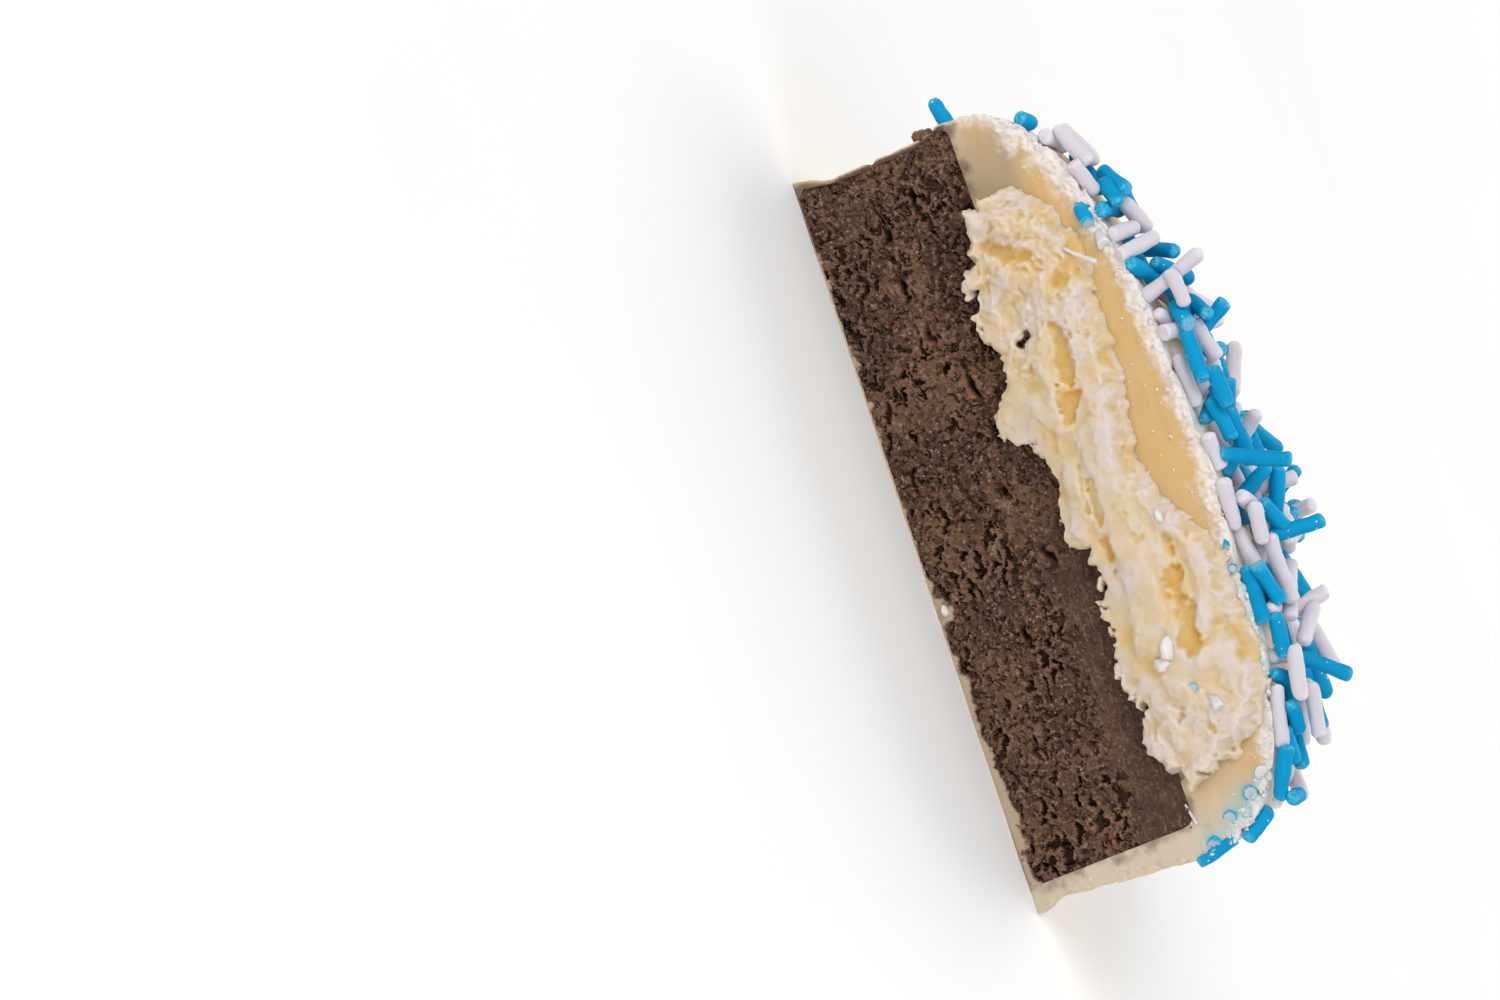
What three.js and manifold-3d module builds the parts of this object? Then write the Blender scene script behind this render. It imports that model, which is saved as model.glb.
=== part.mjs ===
// The cut half of a coated chocolate cookie: a thick chocolate biscuit, a dollop of vanilla buttercream that
// the knife tore open, and a white chocolate coat all round, with blue and white sugar strands stuck to it.
// Millimetres, +Z up. The cut face looks along -Y, X runs along the cut, and the origin is in the middle of
// the flat base.
import * as THREE from "three";
import { mergeVertices } from "three/addons/utils/BufferGeometryUtils.js";
import Module from "manifold-3d";

const wasm = await Module();
wasm.setup();

// ---- Driving dimensions. Every piece is drawn about the whole cookie's axis, which lies in the cut ------

const ORIGIN_BEHIND_CUT = 15;
const GAP = 0.3; // between neighbouring pieces, apart from where one rests on the other
const CLEAN_CUT = 0.02; // how far a snapped edge stands back from the cut plane

const BISCUIT = {
  radius: 30,
  bottom: 0.8,
  top: 14.3,
  offCentre: -0.5,
  lean: -0.7, // how much further off its top is
  edge: 0.6, // bevel round the bottom
  shoulder: 3, // width of the rim that slumped
  slump: 0.5,
};
const CREAM = { radius: 24.8, top: 20.8, power: 2.3, offCentre: 1.4, behindPatch: 0.8, patchDepth: 6 };
const COAT = {
  radius: 31.2,
  belly: 0.6, // how much wider it is where the wall meets the dome
  wallTop: 14,
  top: 25.5,
  power: 2.6, // squareness of the dome
  lean: 2.8, // how far the crown leans to +X
  footHeight: 2.4,
};
const SPRINKLE = {
  radius: 0.66,
  shortest: 3.2,
  longest: 6.4,
  count: 165,
  sunk: 0.42, // share of the radius that sits in the chocolate
  spacing: 1.66, // closest that two centre lines come, in radii, so that they are fused where they touch
  standing: 0.07, // share that stand up on end
  highest: 2.2, // the most that one is propped up by those below it
  pastCut: 0.5, // how far the knife left one reaching past the cut
  stub: 1.6, // the shortest piece that it left
  roll: 0.9, // how far its five sides are turned about its own line
  seed: 20771,
};

// ---- Shape helpers -------------------------------------------------------------------------------------

const { abs, atan2, cos, sin, exp, hypot, min, max, PI } = Math;
const smooth = (low, high, value) => THREE.MathUtils.smoothstep(value, low, high);
const bump = (value, centre, width) => exp(-(((value - centre) / width) ** 2));

// Uneven rise and fall between about -1 and 1: a few waves of shrinking length, each turned from the last.
function waves(u, v, length, octaves) {
  let sum = 0;
  for (let k = 0; k < octaves; k++) {
    const turn = 2.4 * k + 0.6;
    const pitch = (2 * PI * 1.55 ** k) / length;
    sum += 0.72 ** k * cos(pitch * (u * cos(turn) + v * sin(turn)) + 1.7 * k * k);
  }
  return sum / 2;
}

// A closed geometry as a solid that can be cut and joined, without triangles that have no area.
function solidOf(geometry) {
  const bare = new THREE.BufferGeometry();
  bare.setAttribute("position", geometry.getAttribute("position"));
  bare.setIndex(geometry.index);
  const merged = mergeVertices(bare, 1e-4);
  const corners = merged.index.array;
  const kept = [];
  for (let i = 0; i < corners.length; i += 3) {
    const [a, b, c] = corners.slice(i, i + 3);
    if (a !== b && b !== c && c !== a) kept.push(a, b, c);
  }
  const vertProperties = new Float32Array(merged.getAttribute("position").array);
  return new wasm.Manifold(new wasm.Mesh({ numProp: 3, vertProperties, triVerts: new Uint32Array(kept) }));
}

// Moves every vertex of a geometry by a function of its place.
function reshape(geometry, move) {
  const position = geometry.getAttribute("position");
  const point = new THREE.Vector3();
  for (let i = 0; i < position.count; i++) {
    move(point.fromBufferAttribute(position, i));
    position.setXYZ(i, point.x, point.y, point.z);
  }
  return geometry;
}

// A body turned about the cookie's axis from [radius, height] points listed from the bottom up.
function turned(profile, sides, move) {
  const outline = profile.map(([radius, height]) => new THREE.Vector2(radius, height));
  return solidOf(reshape(new THREE.LatheGeometry(outline, sides).rotateX(PI / 2), move));
}

// The [radius, height] points of a dome whose section is a quarter of a superellipse, from its rim up.
function dome(radius, low, high, power, steps) {
  return Array.from({ length: steps + 1 }, (_, i) => {
    const turn = (i / steps) * (PI / 2);
    const out = i === steps ? 0 : cos(turn) ** (2 / power);
    return [radius * out, low + (high - low) * sin(turn) ** (2 / power)];
  });
}

// Everything behind the knife's cut, whose face lies at y = face(x, z).
function behindCut(face, across, up) {
  const block = new THREE.BoxGeometry(72, 60, 32, across, 1, up).translate(0, 30, 14);
  return solidOf(reshape(block, (p) => p.y < 1 && (p.y = face(p.x, p.z))));
}

// ---- Biscuit: a thick baked disc that leans to -X, where its rim slumped a little ----------------------

function biscuitBody(grow) {
  const { radius, bottom, top, offCentre, lean, edge, shoulder, slump } = BISCUIT;
  const rim = radius + grow;
  const lid = top + grow;
  const profile = [
    [0, bottom],
    [rim - edge, bottom],
    [rim, bottom + edge],
    [rim, lid - 2],
    [rim - 0.35, lid - 0.8],
    [rim - 1.2, lid - 0.2],
    [rim - shoulder / 2, lid],
    [rim - shoulder, lid],
    [0, lid],
  ];
  return turned(profile, 48, (p) => {
    const lowSide = 0.15 + 0.85 * smooth(0.2, 1, -cos(atan2(p.y, p.x)));
    const drop = slump * lowSide * smooth(rim - shoulder, rim, hypot(p.x, p.y)) ** 1.3;
    p.x += offCentre + (lean * p.z) / top;
    if (p.z > lid - 3) p.z -= drop;
  });
}

// Depth of the crumb's hollows behind the cut plane. They run along the cut, and towards +X the knife has
// smeared the upper ones shut.
function crumbDepth(x, z) {
  const open = 1 - 0.75 * smooth(9, 13.5, z) * smooth(-12, 16, x);
  const hollows = max(0, waves(x + 0.55 * z, 2.1 * z, 7.5, 6) - 0.12);
  return CLEAN_CUT + 1.5 * open * hollows;
}

const makeBiscuit = () => biscuitBody(0).intersect(behindCut(crumbDepth, 60, 27));

// ---- Buttercream: a low dollop on the biscuit, dragged out over the cut face in ragged folds -----------

// [x, z] round the torn patch on the cut face, from its low -X corner along the biscuit, back over the coat.
const TORN_OUTLINE = [
  [-23.4, 14], [-21.8, 12.2], [-18.9, 11.5], [-15.2, 12], [-11, 11.8], [-6.6, 10.1], [-4.5, 12.4],
  [-0.1, 13.4], [4, 13.3], [9, 14.2], [13.4, 14.9], [17.3, 14.4], [22.5, 14.3], [25.4, 16.2],
  [25, 19.6], [22.4, 23.4], [17.8, 24.6], [12.4, 24.5], [7.4, 23.6], [3.3, 21.1], [-2.5, 21.3], [-8.4, 21.6],
  [-13.9, 21.7], [-18.4, 22.1], [-20.9, 19.9], [-24, 17.3],
];
const PATCH_MIDDLE = new THREE.Vector2(1, 17.8);

// Troughs that the knife left in it: middle, half length, half width, turn from X in radians, depth.
const TROUGHS = [
  { midX: 15.1, midZ: 19.4, long: 4.4, wide: 0.9, turn: -0.14, deep: 1.5 },
  { midX: 17.5, midZ: 23.4, long: 2.6, wide: 1.7, turn: 0.17, deep: 1.2 },
  { midX: -14.5, midZ: 19.7, long: 3.6, wide: 2, turn: 0.07, deep: 1.3 },
  { midX: -4.1, midZ: 16.1, long: 4.6, wide: 0.8, turn: -0.21, deep: 1.1 },
  { midX: 4.6, midZ: 18.3, long: 4.2, wide: 0.7, turn: -0.1, deep: 0.9 },
];

function troughDepth(x, z) {
  return TROUGHS.reduce((depth, { midX, midZ, long, wide, turn, deep }) => {
    const along = ((x - midX) * cos(turn) + (z - midZ) * sin(turn)) / long;
    const over = ((z - midZ) * cos(turn) - (x - midX) * sin(turn)) / wide;
    return depth + deep * exp(-(along ** 4) - over * over);
  }, 0);
}

// How far the torn cream stands out in front of the cut plane: most along a ridge that climbs slowly to +X.
function creamStand(x, z) {
  const ridge = bump(z, 17.7 + 0.06 * x, 5.2);
  const folds = waves(0.5 * x, z + 0.12 * x, 4.6, 6);
  return max(0.5, 0.75 + 1.55 * ridge + 0.85 * folds - troughDepth(x, z));
}

function creamBody(grow) {
  const { radius, top, power, offCentre } = CREAM;
  const bottom = BISCUIT.top - 3 * grow;
  const rise = dome(radius + grow, BISCUIT.top, top + grow, power, 7);
  return turned([[0, bottom], [radius + grow, bottom], ...rise], 44, (p) => (p.x += offCentre));
}

// A block of cream as deep as it could stand, inside the ragged outline and just ahead of the cut plane.
function tornPatch() {
  const points = TORN_OUTLINE.map(([x, z]) => new THREE.Vector3(x, z, 0));
  const loop = new THREE.CatmullRomCurve3(points, true).getSpacedPoints(96).slice(0, -1);
  const ragged = loop.map((p, i) => {
    const tear = 0.28 * (i % 2 ? -1 : 1) + 0.3 * waves(p.x, p.y, 3, 3);
    const place = new THREE.Vector2(p.x, p.y);
    return place.addScaledVector(place.clone().sub(PATCH_MIDDLE).normalize(), tear);
  });
  const options = { depth: CREAM.patchDepth, bevelEnabled: false };
  const block = new THREE.ExtrudeGeometry(new THREE.Shape(ragged), options);
  return solidOf(block.rotateX(PI / 2).translate(0, -GAP, 0));
}

function makeCream() {
  const dollop = creamBody(0).intersect(behindCut(() => -CREAM.behindPatch, 1, 1));
  return dollop.add(tornPatch()).intersect(behindCut((x, z) => -creamStand(x, z), 60, 34));
}

// ---- White chocolate coat ------------------------------------------------------------------------------

// How far the chocolate that ran down stands out round the base, by angle from +X.
function footWidth(angle) {
  const pools = 2.7 * bump(angle, 2.2, 0.48) + 1.5 * bump(angle, 0.9, 0.3) + 0.5 * bump(angle, 0, 0.14);
  return 0.1 + pools + 0.25 * sin(angle) ** 2 * (1 + cos(13 * angle));
}

// Moves a point of the plain turned coat to the real one: the foot spreads, the wall and dome are uneven, and
// the crown leans to +X.
function unevenCoat(p) {
  const angle = atan2(abs(p.y), p.x);
  const out = hypot(p.x, p.y);
  const share = min(1, out / (COAT.radius + COAT.belly));
  const foot = p.z < COAT.footHeight ? max(0, out - COAT.radius) * (footWidth(angle) - 1) : 0;
  const swell = share * sin(angle) ** 2 * (0.35 * cos(3 * angle + 0.7) + 0.2 * cos(7 * angle));
  const grow = 1 + (foot + swell) / max(out, 1);
  p.x *= grow;
  p.y *= grow;
  if (p.z > COAT.wallTop) {
    p.x += COAT.lean * (1 - share * share);
    p.z += 0.28 * waves(p.x, p.y, 21, 3) * (1 - share ** 4);
  }
}

function coatBody() {
  const { radius, belly, wallTop, top, power, footHeight } = COAT;
  const foot = [[1, 0], [1.2, 0.5], [0.9, 1.1], [0.3, 1.7]].map(([out, z]) => [radius + out, z]);
  const wall = [[radius, footHeight], [radius + 0.65 * belly, 7.5]];
  const rise = dome(radius + belly, wallTop, top, power, 7);
  return turned([[0, 0], ...foot, ...wall, ...rise], 60, unevenCoat);
}

// The coat's cut edge: flat where the chocolate snapped clean, chipped towards the outside of the dome.
const chipDepth = (x, z) => CLEAN_CUT + 0.5 * smooth(21.5, 25, z) * max(0, waves(x, z, 3.1, 4));

// ---- Sprinkles: short sugar rods that fell on the wet coat one by one ----------------------------------

// Those that show along the cut, from -X to +X: x, y, heading from +X and tilt in degrees, length.
const ALONG_CUT = [
  [-31.3, 1.4, 180, 68, 3.2], [-29.4, 1.4, 20, 0, 3.6], [-27.2, 2.4, 80, 0, 5], [-25.8, 0.8, 0, 0, 4.2],
  [-25.9, 3.4, 10, 0, 4.4], [-23.3, 0.6, 25, 0, 3.4], [-24.2, 5, -15, 0, 4.6], [-21.4, 1.1, -30, 10, 3.2],
  [-20.3, 2.2, 88, 8, 5], [-20.1, 4.4, 0, 0, 4.8], [-19.2, 3.1, 15, 14, 3.6], [-18.2, 1, 90, 35, 3.4],
  [-16.6, 1, 95, 52, 4.2], [-16.2, 4.6, 5, 0, 4.8], [-14.6, 1.6, 60, 12, 4.4], [-13.2, 0.9, 160, 78, 6.4],
  [-12.1, 0.5, 0, 0, 3.4], [-11.7, 3, 5, 0, 4.6], [-9.9, 2, 45, 15, 4], [-10.4, 5.2, 100, 0, 4.4],
  [-9.2, 0.8, 85, 30, 3.4], [-9, 3.4, 165, 62, 4.6], [-7.8, 2.4, 8, 10, 3.8], [-6.8, 0.4, -4, 0, 4.8],
  [-5.2, 1.5, 3, 0, 4.6], [-4.8, 3.6, 150, 38, 4.4], [-3.6, 0.7, 0, 0, 3.6], [-3, 3, 140, 30, 4.4],
  [-1.2, 1.6, -3, 6, 4], [0.6, 2.6, 4, 0, 5], [1, 0.5, 15, 0, 3.2], [1.8, 4.4, 130, 35, 4.6],
  [2.4, 0.9, 20, 66, 5.8], [4.6, 3.4, 140, 42, 5.4], [5.4, 0.5, 8, 0, 4.4], [5.8, 2.4, 60, 10, 4],
  [7.4, 1.3, 2, 0, 3.6], [7.2, 3.6, 35, 20, 4.2], [8.4, 4.4, 110, 74, 5], [9.2, 1.9, -6, 12, 3.8],
  [9.8, 5, 135, 28, 4.4], [11.6, 2.4, 9, 0, 6], [13, 0.4, 2, 0, 5], [12.6, 5.2, 70, 30, 4.2],
  [14.4, 3.2, 92, 0, 5.2], [14.8, 6, 120, 66, 4.4], [16.6, 1, 0, 0, 3.8], [16.4, 4.2, 130, 16, 4.6],
  [18.2, 3, 85, 22, 4], [19.4, 4, 40, 55, 5], [19.6, 0.6, -3, 0, 4.6], [20.2, 2.4, 60, 30, 4.2],
  [22.8, 0.7, 4, 0, 5.2], [22.4, 2.8, 0, 8, 4.6], [25, 2.2, 20, 12, 3.4], [26.9, 0.5, 0, 0, 4.6],
  [28.2, 2.2, 90, 0, 4.8], [29.8, 2.4, 95, 0, 4.6], [30.4, 0.9, -20, 0, 3.4],
];

// A point of the dome by angle from +X and share of the radius.
function domePoint(angle, share) {
  const rise = max(0, 1 - share ** COAT.power) ** (1 / COAT.power);
  const out = (COAT.radius + COAT.belly) * share;
  const z = COAT.wallTop + 1e-6 + (COAT.top - COAT.wallTop) * rise;
  const point = new THREE.Vector3(out * cos(angle), out * sin(angle), z);
  unevenCoat(point);
  return point;
}

// The same point with the directions down the dome, round it and straight out of it.
function domeFrame(angle, share) {
  const step = 0.01;
  const point = domePoint(angle, share);
  const down = point.clone().sub(domePoint(angle, share - step)).normalize();
  const onward = domePoint(angle + step, share).sub(point).normalize();
  const normal = new THREE.Vector3().crossVectors(down, onward).normalize();
  return { point, down, round: new THREE.Vector3().crossVectors(normal, down), normal };
}

// The distance between two straight rods' centre lines, each { middle, along, half }.
function rodDistance(a, b) {
  const between = new THREE.Vector3().subVectors(a.middle, b.middle);
  const turn = a.along.dot(b.along);
  const [da, db] = [a.along.dot(between), b.along.dot(between)];
  const spread = 1 - turn * turn;
  const onA = (value) => max(-a.half, min(a.half, value));
  const nearest = spread > 1e-6 ? onA((turn * db - da) / spread) : 0;
  const onB = max(-b.half, min(b.half, db + nearest * turn));
  return between.addScaledVector(a.along, onA(onB * turn - da)).addScaledVector(b.along, -onB).length();
}

// The chance that a sprinkle stays where it fell: less on the rim and on a bare patch at the back.
function holds(angle, share) {
  const bare = 0.85 * bump(angle, 2.55, 0.5) * smooth(0.45, 0.85, share);
  return 1.12 - 0.95 * share ** 5 - bare + 0.2 * bump(angle, 0, 0.6);
}

// One sprinkle at one tilt, raised in small steps until it clears those already down.
function settle(frame, heading, length, tilt, settled) {
  const { radius, sunk, spacing, highest } = SPRINKLE;
  const half = length / 2 - radius;
  const along = frame.down.clone().multiplyScalar(cos(heading) * cos(tilt));
  along.addScaledVector(frame.round, sin(heading) * cos(tilt)).addScaledVector(frame.normal, sin(tilt));
  const rod = { middle: new THREE.Vector3(), along, half, length };
  const ground = radius * (1 - sunk) + 0.92 * abs(sin(tilt)) * half;
  const near = settled.filter((other) => other.middle.distanceTo(frame.point) < half + other.half + 4);
  const clashes = (lift) => {
    rod.middle.copy(frame.point).addScaledVector(frame.normal, ground + lift);
    return near.some((other) => rodDistance(rod, other) < spacing * radius);
  };
  let lift = 0;
  while (lift <= highest && clashes(lift)) lift += 0.2;
  if (lift > 0) for (const back of [0.1, 0.05, 0.025]) lift -= clashes(lift - back) ? 0 : back;
  clashes(lift);
  return { rod, height: ground + lift, held: lift <= highest };
}

// Shortens a sprinkle that reaches through the cut to the piece that the knife left behind it.
function trim(rod) {
  const lean = abs(rod.along.y);
  const kept = max(0, rod.middle.y + SPRINKLE.pastCut - SPRINKLE.radius);
  const cutOff = max(0, rod.half - kept / max(lean, 1e-6));
  rod.middle.addScaledVector(rod.along, (Math.sign(rod.along.y) * cutOff) / 2);
  rod.half -= cutOff / 2;
  rod.length -= cutOff;
  return rod;
}

// One sprinkle of the row along the cut, whose place is given across the dome from above.
function laySprinkle([x, y, heading, tilt, length], settled) {
  const { radius, belly, lean } = COAT;
  let [share, across] = [0.5, x];
  for (let i = 0; i < 12; i++) {
    across = x - lean * (1 - share * share);
    share = max(0.02, min(0.9998, hypot(across, y) / (radius + belly)));
  }
  const angle = atan2(y, across);
  const turned = (heading * PI) / 180 - angle;
  return trim(settle(domeFrame(angle, share), turned, length, (tilt * PI) / 180, settled).rod);
}

// Those along the cut are laid first. Each of the others takes the tilt that sets it lowest.
function scatterSprinkles() {
  const { shortest, longest, count, standing, stub, seed } = SPRINKLE;
  let state = seed;
  const random = () => (state = (state * 48271) % 2147483647) / 2147483647;
  const settled = [];
  for (const place of ALONG_CUT) settled.push(laySprinkle(place, settled));
  while (settled.length < count) {
    const angle = PI * random();
    const share = 0.985 * random() ** 0.5;
    const keep = random();
    const heading = PI * random();
    const length = shortest + (longest - shortest) * random();
    const upright = random();
    if (keep > holds(angle, share)) continue;
    const frame = domeFrame(angle, share);
    const tilts = upright < standing ? [0.6 + 8 * upright] : [0, 0.16, -0.16, 0.34, -0.34];
    const trials = tilts.map((tilt) => settle(frame, heading, length, tilt, settled)).filter((t) => t.held);
    if (!trials.length) continue;
    const rod = trim(trials.reduce((best, trial) => (trial.height < best.height ? trial : best)).rod);
    if (rod.length > stub) settled.push(rod);
  }
  return settled;
}

function sprinkleSolid({ middle, along, length }) {
  const { radius, roll } = SPRINKLE;
  const rod = new THREE.CylinderGeometry(radius, radius, length, 5, 1, false, roll);
  const turn = new THREE.Quaternion().setFromUnitVectors(new THREE.Vector3(0, 1, 0), along);
  return solidOf(rod.applyMatrix4(new THREE.Matrix4().compose(middle, turn, new THREE.Vector3(1, 1, 1))));
}

function makeCoat() {
  const inside = biscuitBody(GAP).add(creamBody(GAP));
  const shell = coatBody().subtract(inside).intersect(behindCut(chipDepth, 48, 22));
  const joined = wasm.Manifold.union([shell, ...scatterSprinkles().map(sprinkleSolid)]).simplify(0.012);
  // The largest body, which leaves out any sprinkle that touches nothing.
  return joined.decompose().reduce((largest, body) => (body.volume() > largest.volume() ? body : largest));
}

// ---- The part ------------------------------------------------------------------------------------------

const finish = (color, roughness) => new THREE.MeshStandardMaterial({ color, roughness, metalness: 0 });

function meshOf(name, solid, material) {
  const { numProp, vertProperties, triVerts } = solid.getMesh();
  const geometry = new THREE.BufferGeometry();
  geometry.setAttribute("position", new THREE.BufferAttribute(vertProperties, numProp));
  geometry.setIndex(new THREE.BufferAttribute(triVerts, 1));
  geometry.computeVertexNormals();
  const mesh = new THREE.Mesh(geometry, material);
  mesh.name = name;
  return mesh;
}

const cookie = new THREE.Group();
cookie.add(
  meshOf("chocolate_biscuit", makeBiscuit(), finish(0x55402f, 0.95)),
  meshOf("buttercream", makeCream(), finish(0xf3e3c4, 0.6)),
  meshOf("white_chocolate_coat", makeCoat(), finish(0xe9d9b4, 0.4)),
);
cookie.position.y = -ORIGIN_BEHIND_CUT;

export default cookie;
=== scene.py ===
"""The looks of a cut, coated chocolate cookie, made in the order in which the real one comes about.

Shapes are worked out in millimetres about the whole cookie's axis, which stands in the cut plane, and become
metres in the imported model's frame when a piece is made.
"""
import itertools
import math

import bpy
import numpy as np
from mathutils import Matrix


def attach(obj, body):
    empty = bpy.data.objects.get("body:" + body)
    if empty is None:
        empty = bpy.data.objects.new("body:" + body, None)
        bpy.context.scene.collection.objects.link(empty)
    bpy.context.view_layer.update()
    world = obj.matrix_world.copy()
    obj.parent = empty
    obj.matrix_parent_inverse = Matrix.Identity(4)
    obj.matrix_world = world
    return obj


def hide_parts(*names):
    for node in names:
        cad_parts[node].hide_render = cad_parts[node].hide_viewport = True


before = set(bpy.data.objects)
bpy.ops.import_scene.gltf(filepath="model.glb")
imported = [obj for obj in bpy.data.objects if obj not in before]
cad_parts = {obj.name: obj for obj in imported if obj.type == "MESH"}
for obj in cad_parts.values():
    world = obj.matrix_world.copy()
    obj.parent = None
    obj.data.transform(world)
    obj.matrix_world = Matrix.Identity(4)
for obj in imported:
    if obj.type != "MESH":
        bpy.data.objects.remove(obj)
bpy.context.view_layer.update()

import openvdb
from mathutils import Matrix, Vector

# ---- Biscuit -------------------------------------------------------------------------------------------
# A thick disc of short chocolate dough, baked dry and sawn through with a knife. The cut shows an open crumb
# of grains and of pits drawn out along the cut. Towards +X the blade has smeared its upper half smooth.

MM = 0.001
AXIS_Y = -15.0  # the whole cookie's axis in the model's frame
BEHIND = 40  # further back than any piece
SIDES = 160  # of the turned biscuit, and of the dollop of cream on it
CLEAN_CUT = 0.02  # how far behind the cut plane the knife's smooth face lies
BISCUIT = dict(radius=30.15, bottom=0.1, top=14.4, off_centre=-0.5, lean=-0.7, edge=0.6, climb=0.017)
CRUMB_DEPTHS = dict(hollows=0.04, pits=0.65, pores=0.25, grit=0.11, rifts=1.1)
CRUMB_SLANT = 0.07  # how far the crumb's layers rise for each mm towards +X
RIFTS = [  # x, z, half length and half width of the deepest cracks in the crumb
    (-24.6, 13.2, 0.7, 0.6), (-24.7, 6.2, 0.9, 0.3), (-27, 9, 0.7, 0.3), (-20.3, 5.8, 1, 0.3),
    (-15.7, 6.9, 0.9, 0.25), (-10.4, 8.9, 1.1, 0.3), (-6.2, 9.6, 0.8, 0.25), (-1.8, 8.3, 0.7, 0.3),
    (4.4, 10.4, 0.8, 0.25), (9.8, 6.3, 0.7, 0.3),
]  # fmt: skip
CRUMB_STEP = 0.1  # from one point of the crumb's mesh to the next


def smooth(low, high, value):
    """0 below low, 1 above high, and a smooth rise between them."""
    share = np.clip((value - low) / (high - low), 0, 1)
    return share * share * (3 - 2 * share)


def bump(value, centre, width):
    """A smooth hump, 1 at its centre."""
    return np.exp(-(((value - centre) / width) ** 2))


def waves(u, v, length, octaves):
    """Uneven rise and fall between about -1 and 1: waves of shrinking length, each turned from the last."""
    total = 0.0
    for k in range(octaves):
        turn, pitch = 2.4 * k + 0.6, 2 * math.pi * 1.55**k / length
        total = total + 0.72**k * np.cos(pitch * (u * math.cos(turn) + v * math.sin(turn)) + 1.7 * k * k)
    return total / 2


def grain(points, size, seed, octaves=3, fade=0.55):
    """Random unevenness, about -1 to 1, in patches `size` mm across with finer ones laid over them."""
    cells = 32
    total = np.zeros(len(points))
    for octave in range(octaves):
        table = np.random.default_rng(seed + octave).uniform(-1, 1, (cells, cells, cells))
        spin = np.array(Matrix.Rotation(0.9 + octave, 3, Vector((0.6, 0.3, 0.74))))
        place = points @ spin * (2**octave / size)
        cell = np.floor(place).astype(np.int64)
        part = smooth(0, 1, place - cell)
        for corner in itertools.product((0, 1), repeat=3):
            share = np.prod(np.where(corner, part, 1 - part), axis=1)
            total += fade**octave * share * table[tuple((cell + corner).T % cells)]
    return 1.4 * total


def on_cut(x, z):
    """Points of the cut plane from flat arrays of x and z."""
    return np.column_stack([x, np.zeros_like(x), z])


def facets(x, z, size, seed):
    """The cut plane broken into grains about `size` mm across: the height of each, with its own tilt, and
    its level."""
    cells = 64
    table = np.random.default_rng(seed).uniform(-1, 1, (cells, cells, 5))
    i, j = np.floor(x / size).astype(int), np.floor(z / size).astype(int)
    nearest, height, own = np.full(x.shape, np.inf), np.zeros(x.shape), np.zeros(x.shape)
    for side, above in itertools.product((-1, 0, 1), repeat=2):
        across, up, level, tilt_x, tilt_z = np.moveaxis(table[(i + side) % cells, (j + above) % cells], -1, 0)
        u = x / size - (i + side + 0.5 + 0.45 * across)
        v = z / size - (j + above + 0.5 + 0.45 * up)
        away = np.hypot(u, v)
        height = np.where(away < nearest, level + 0.8 * (tilt_x * u + tilt_z * v) - away**2, height)
        own = np.where(away < nearest, level, own)
        nearest = np.minimum(nearest, away)
    return height, own


def piece_of(name, points, faces):
    """An object from points in mm about the cookie's axis."""
    mesh = bpy.data.meshes.new(name)
    mesh.from_pydata((np.asarray(points) + (0, AXIS_Y, 0)) * MM, [], faces)
    piece = bpy.data.objects.new(name, mesh)
    bpy.context.scene.collection.objects.link(piece)
    return piece


def places(piece):
    """The vertices of a piece in mm about the cookie's axis."""
    flat = np.empty(3 * len(piece.data.vertices), np.float32)
    piece.data.vertices.foreach_get("co", flat)
    return flat.reshape(-1, 3).astype(float) / MM - (0, AXIS_Y, 0)


def hoops(rings, sides):
    """The faces between one ring of points and the next."""
    here = np.arange(sides)
    onward = (here + 1) % sides
    faces = []
    for low in range(0, (rings - 1) * sides, sides):
        high = low + sides
        faces += np.column_stack([low + here, low + onward, high + onward, high + here]).tolist()
    return faces


def turned(name, profile, sides, move):
    """A closed body turned about the axis from (radius, height) points, from the bottom up, then moved."""
    profile = np.array(profile)
    angles = np.arange(sides) * 2 * math.pi / sides
    rings = profile[1:-1]
    points = np.empty((len(rings), sides, 3))
    points[..., 0] = rings[:, :1] * np.cos(angles)
    points[..., 1] = rings[:, :1] * np.sin(angles)
    points[..., 2] = rings[:, 1:]
    points = np.vstack([points.reshape(-1, 3), [[0, 0, profile[0, 1]], [0, 0, profile[-1, 1]]]])
    low, high = len(points) - 2, len(points) - 1
    here = np.arange(sides)
    onward = (here + 1) % sides
    last = (len(rings) - 1) * sides
    faces = hoops(len(rings), sides)
    faces += np.column_stack([np.full(sides, low), onward, here]).tolist()
    faces += np.column_stack([last + here, last + onward, np.full(sides, high)]).tolist()
    return piece_of(name, move(points), faces)


def behind_cut(face, step, x_range, z_range):
    """A block with everything behind the knife's cut, whose face lies at y = face(x, z)."""
    xs = np.arange(x_range[0], x_range[1] + step, step)
    zs = np.arange(z_range[0], z_range[1] + step, step)
    across, up = len(xs), len(zs)
    x, z = [flat.ravel() for flat in np.meshgrid(xs, zs)]
    front = np.column_stack([x, face(x, z), z])
    back = [[xs[i], BEHIND, zs[j]] for i, j in ((0, 0), (-1, 0), (-1, -1), (0, -1))]
    grid = np.arange(across * up).reshape(up, across)
    quads = np.stack([grid[:-1, :-1], grid[:-1, 1:], grid[1:, 1:], grid[1:, :-1]], axis=-1).reshape(-1, 4)
    b = across * up + np.arange(4)
    sides = [
        [*grid[0, ::-1], b[0], b[1]],
        [*grid[-1], b[2], b[3]],
        [*grid[:, 0], b[3], b[0]],
        [*grid[::-1, -1], b[1], b[2]],
        [b[1], b[0], b[3], b[2]],
    ]
    return piece_of("knife", np.vstack([front, back]), quads.tolist() + [[int(i) for i in s] for s in sides])


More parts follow.
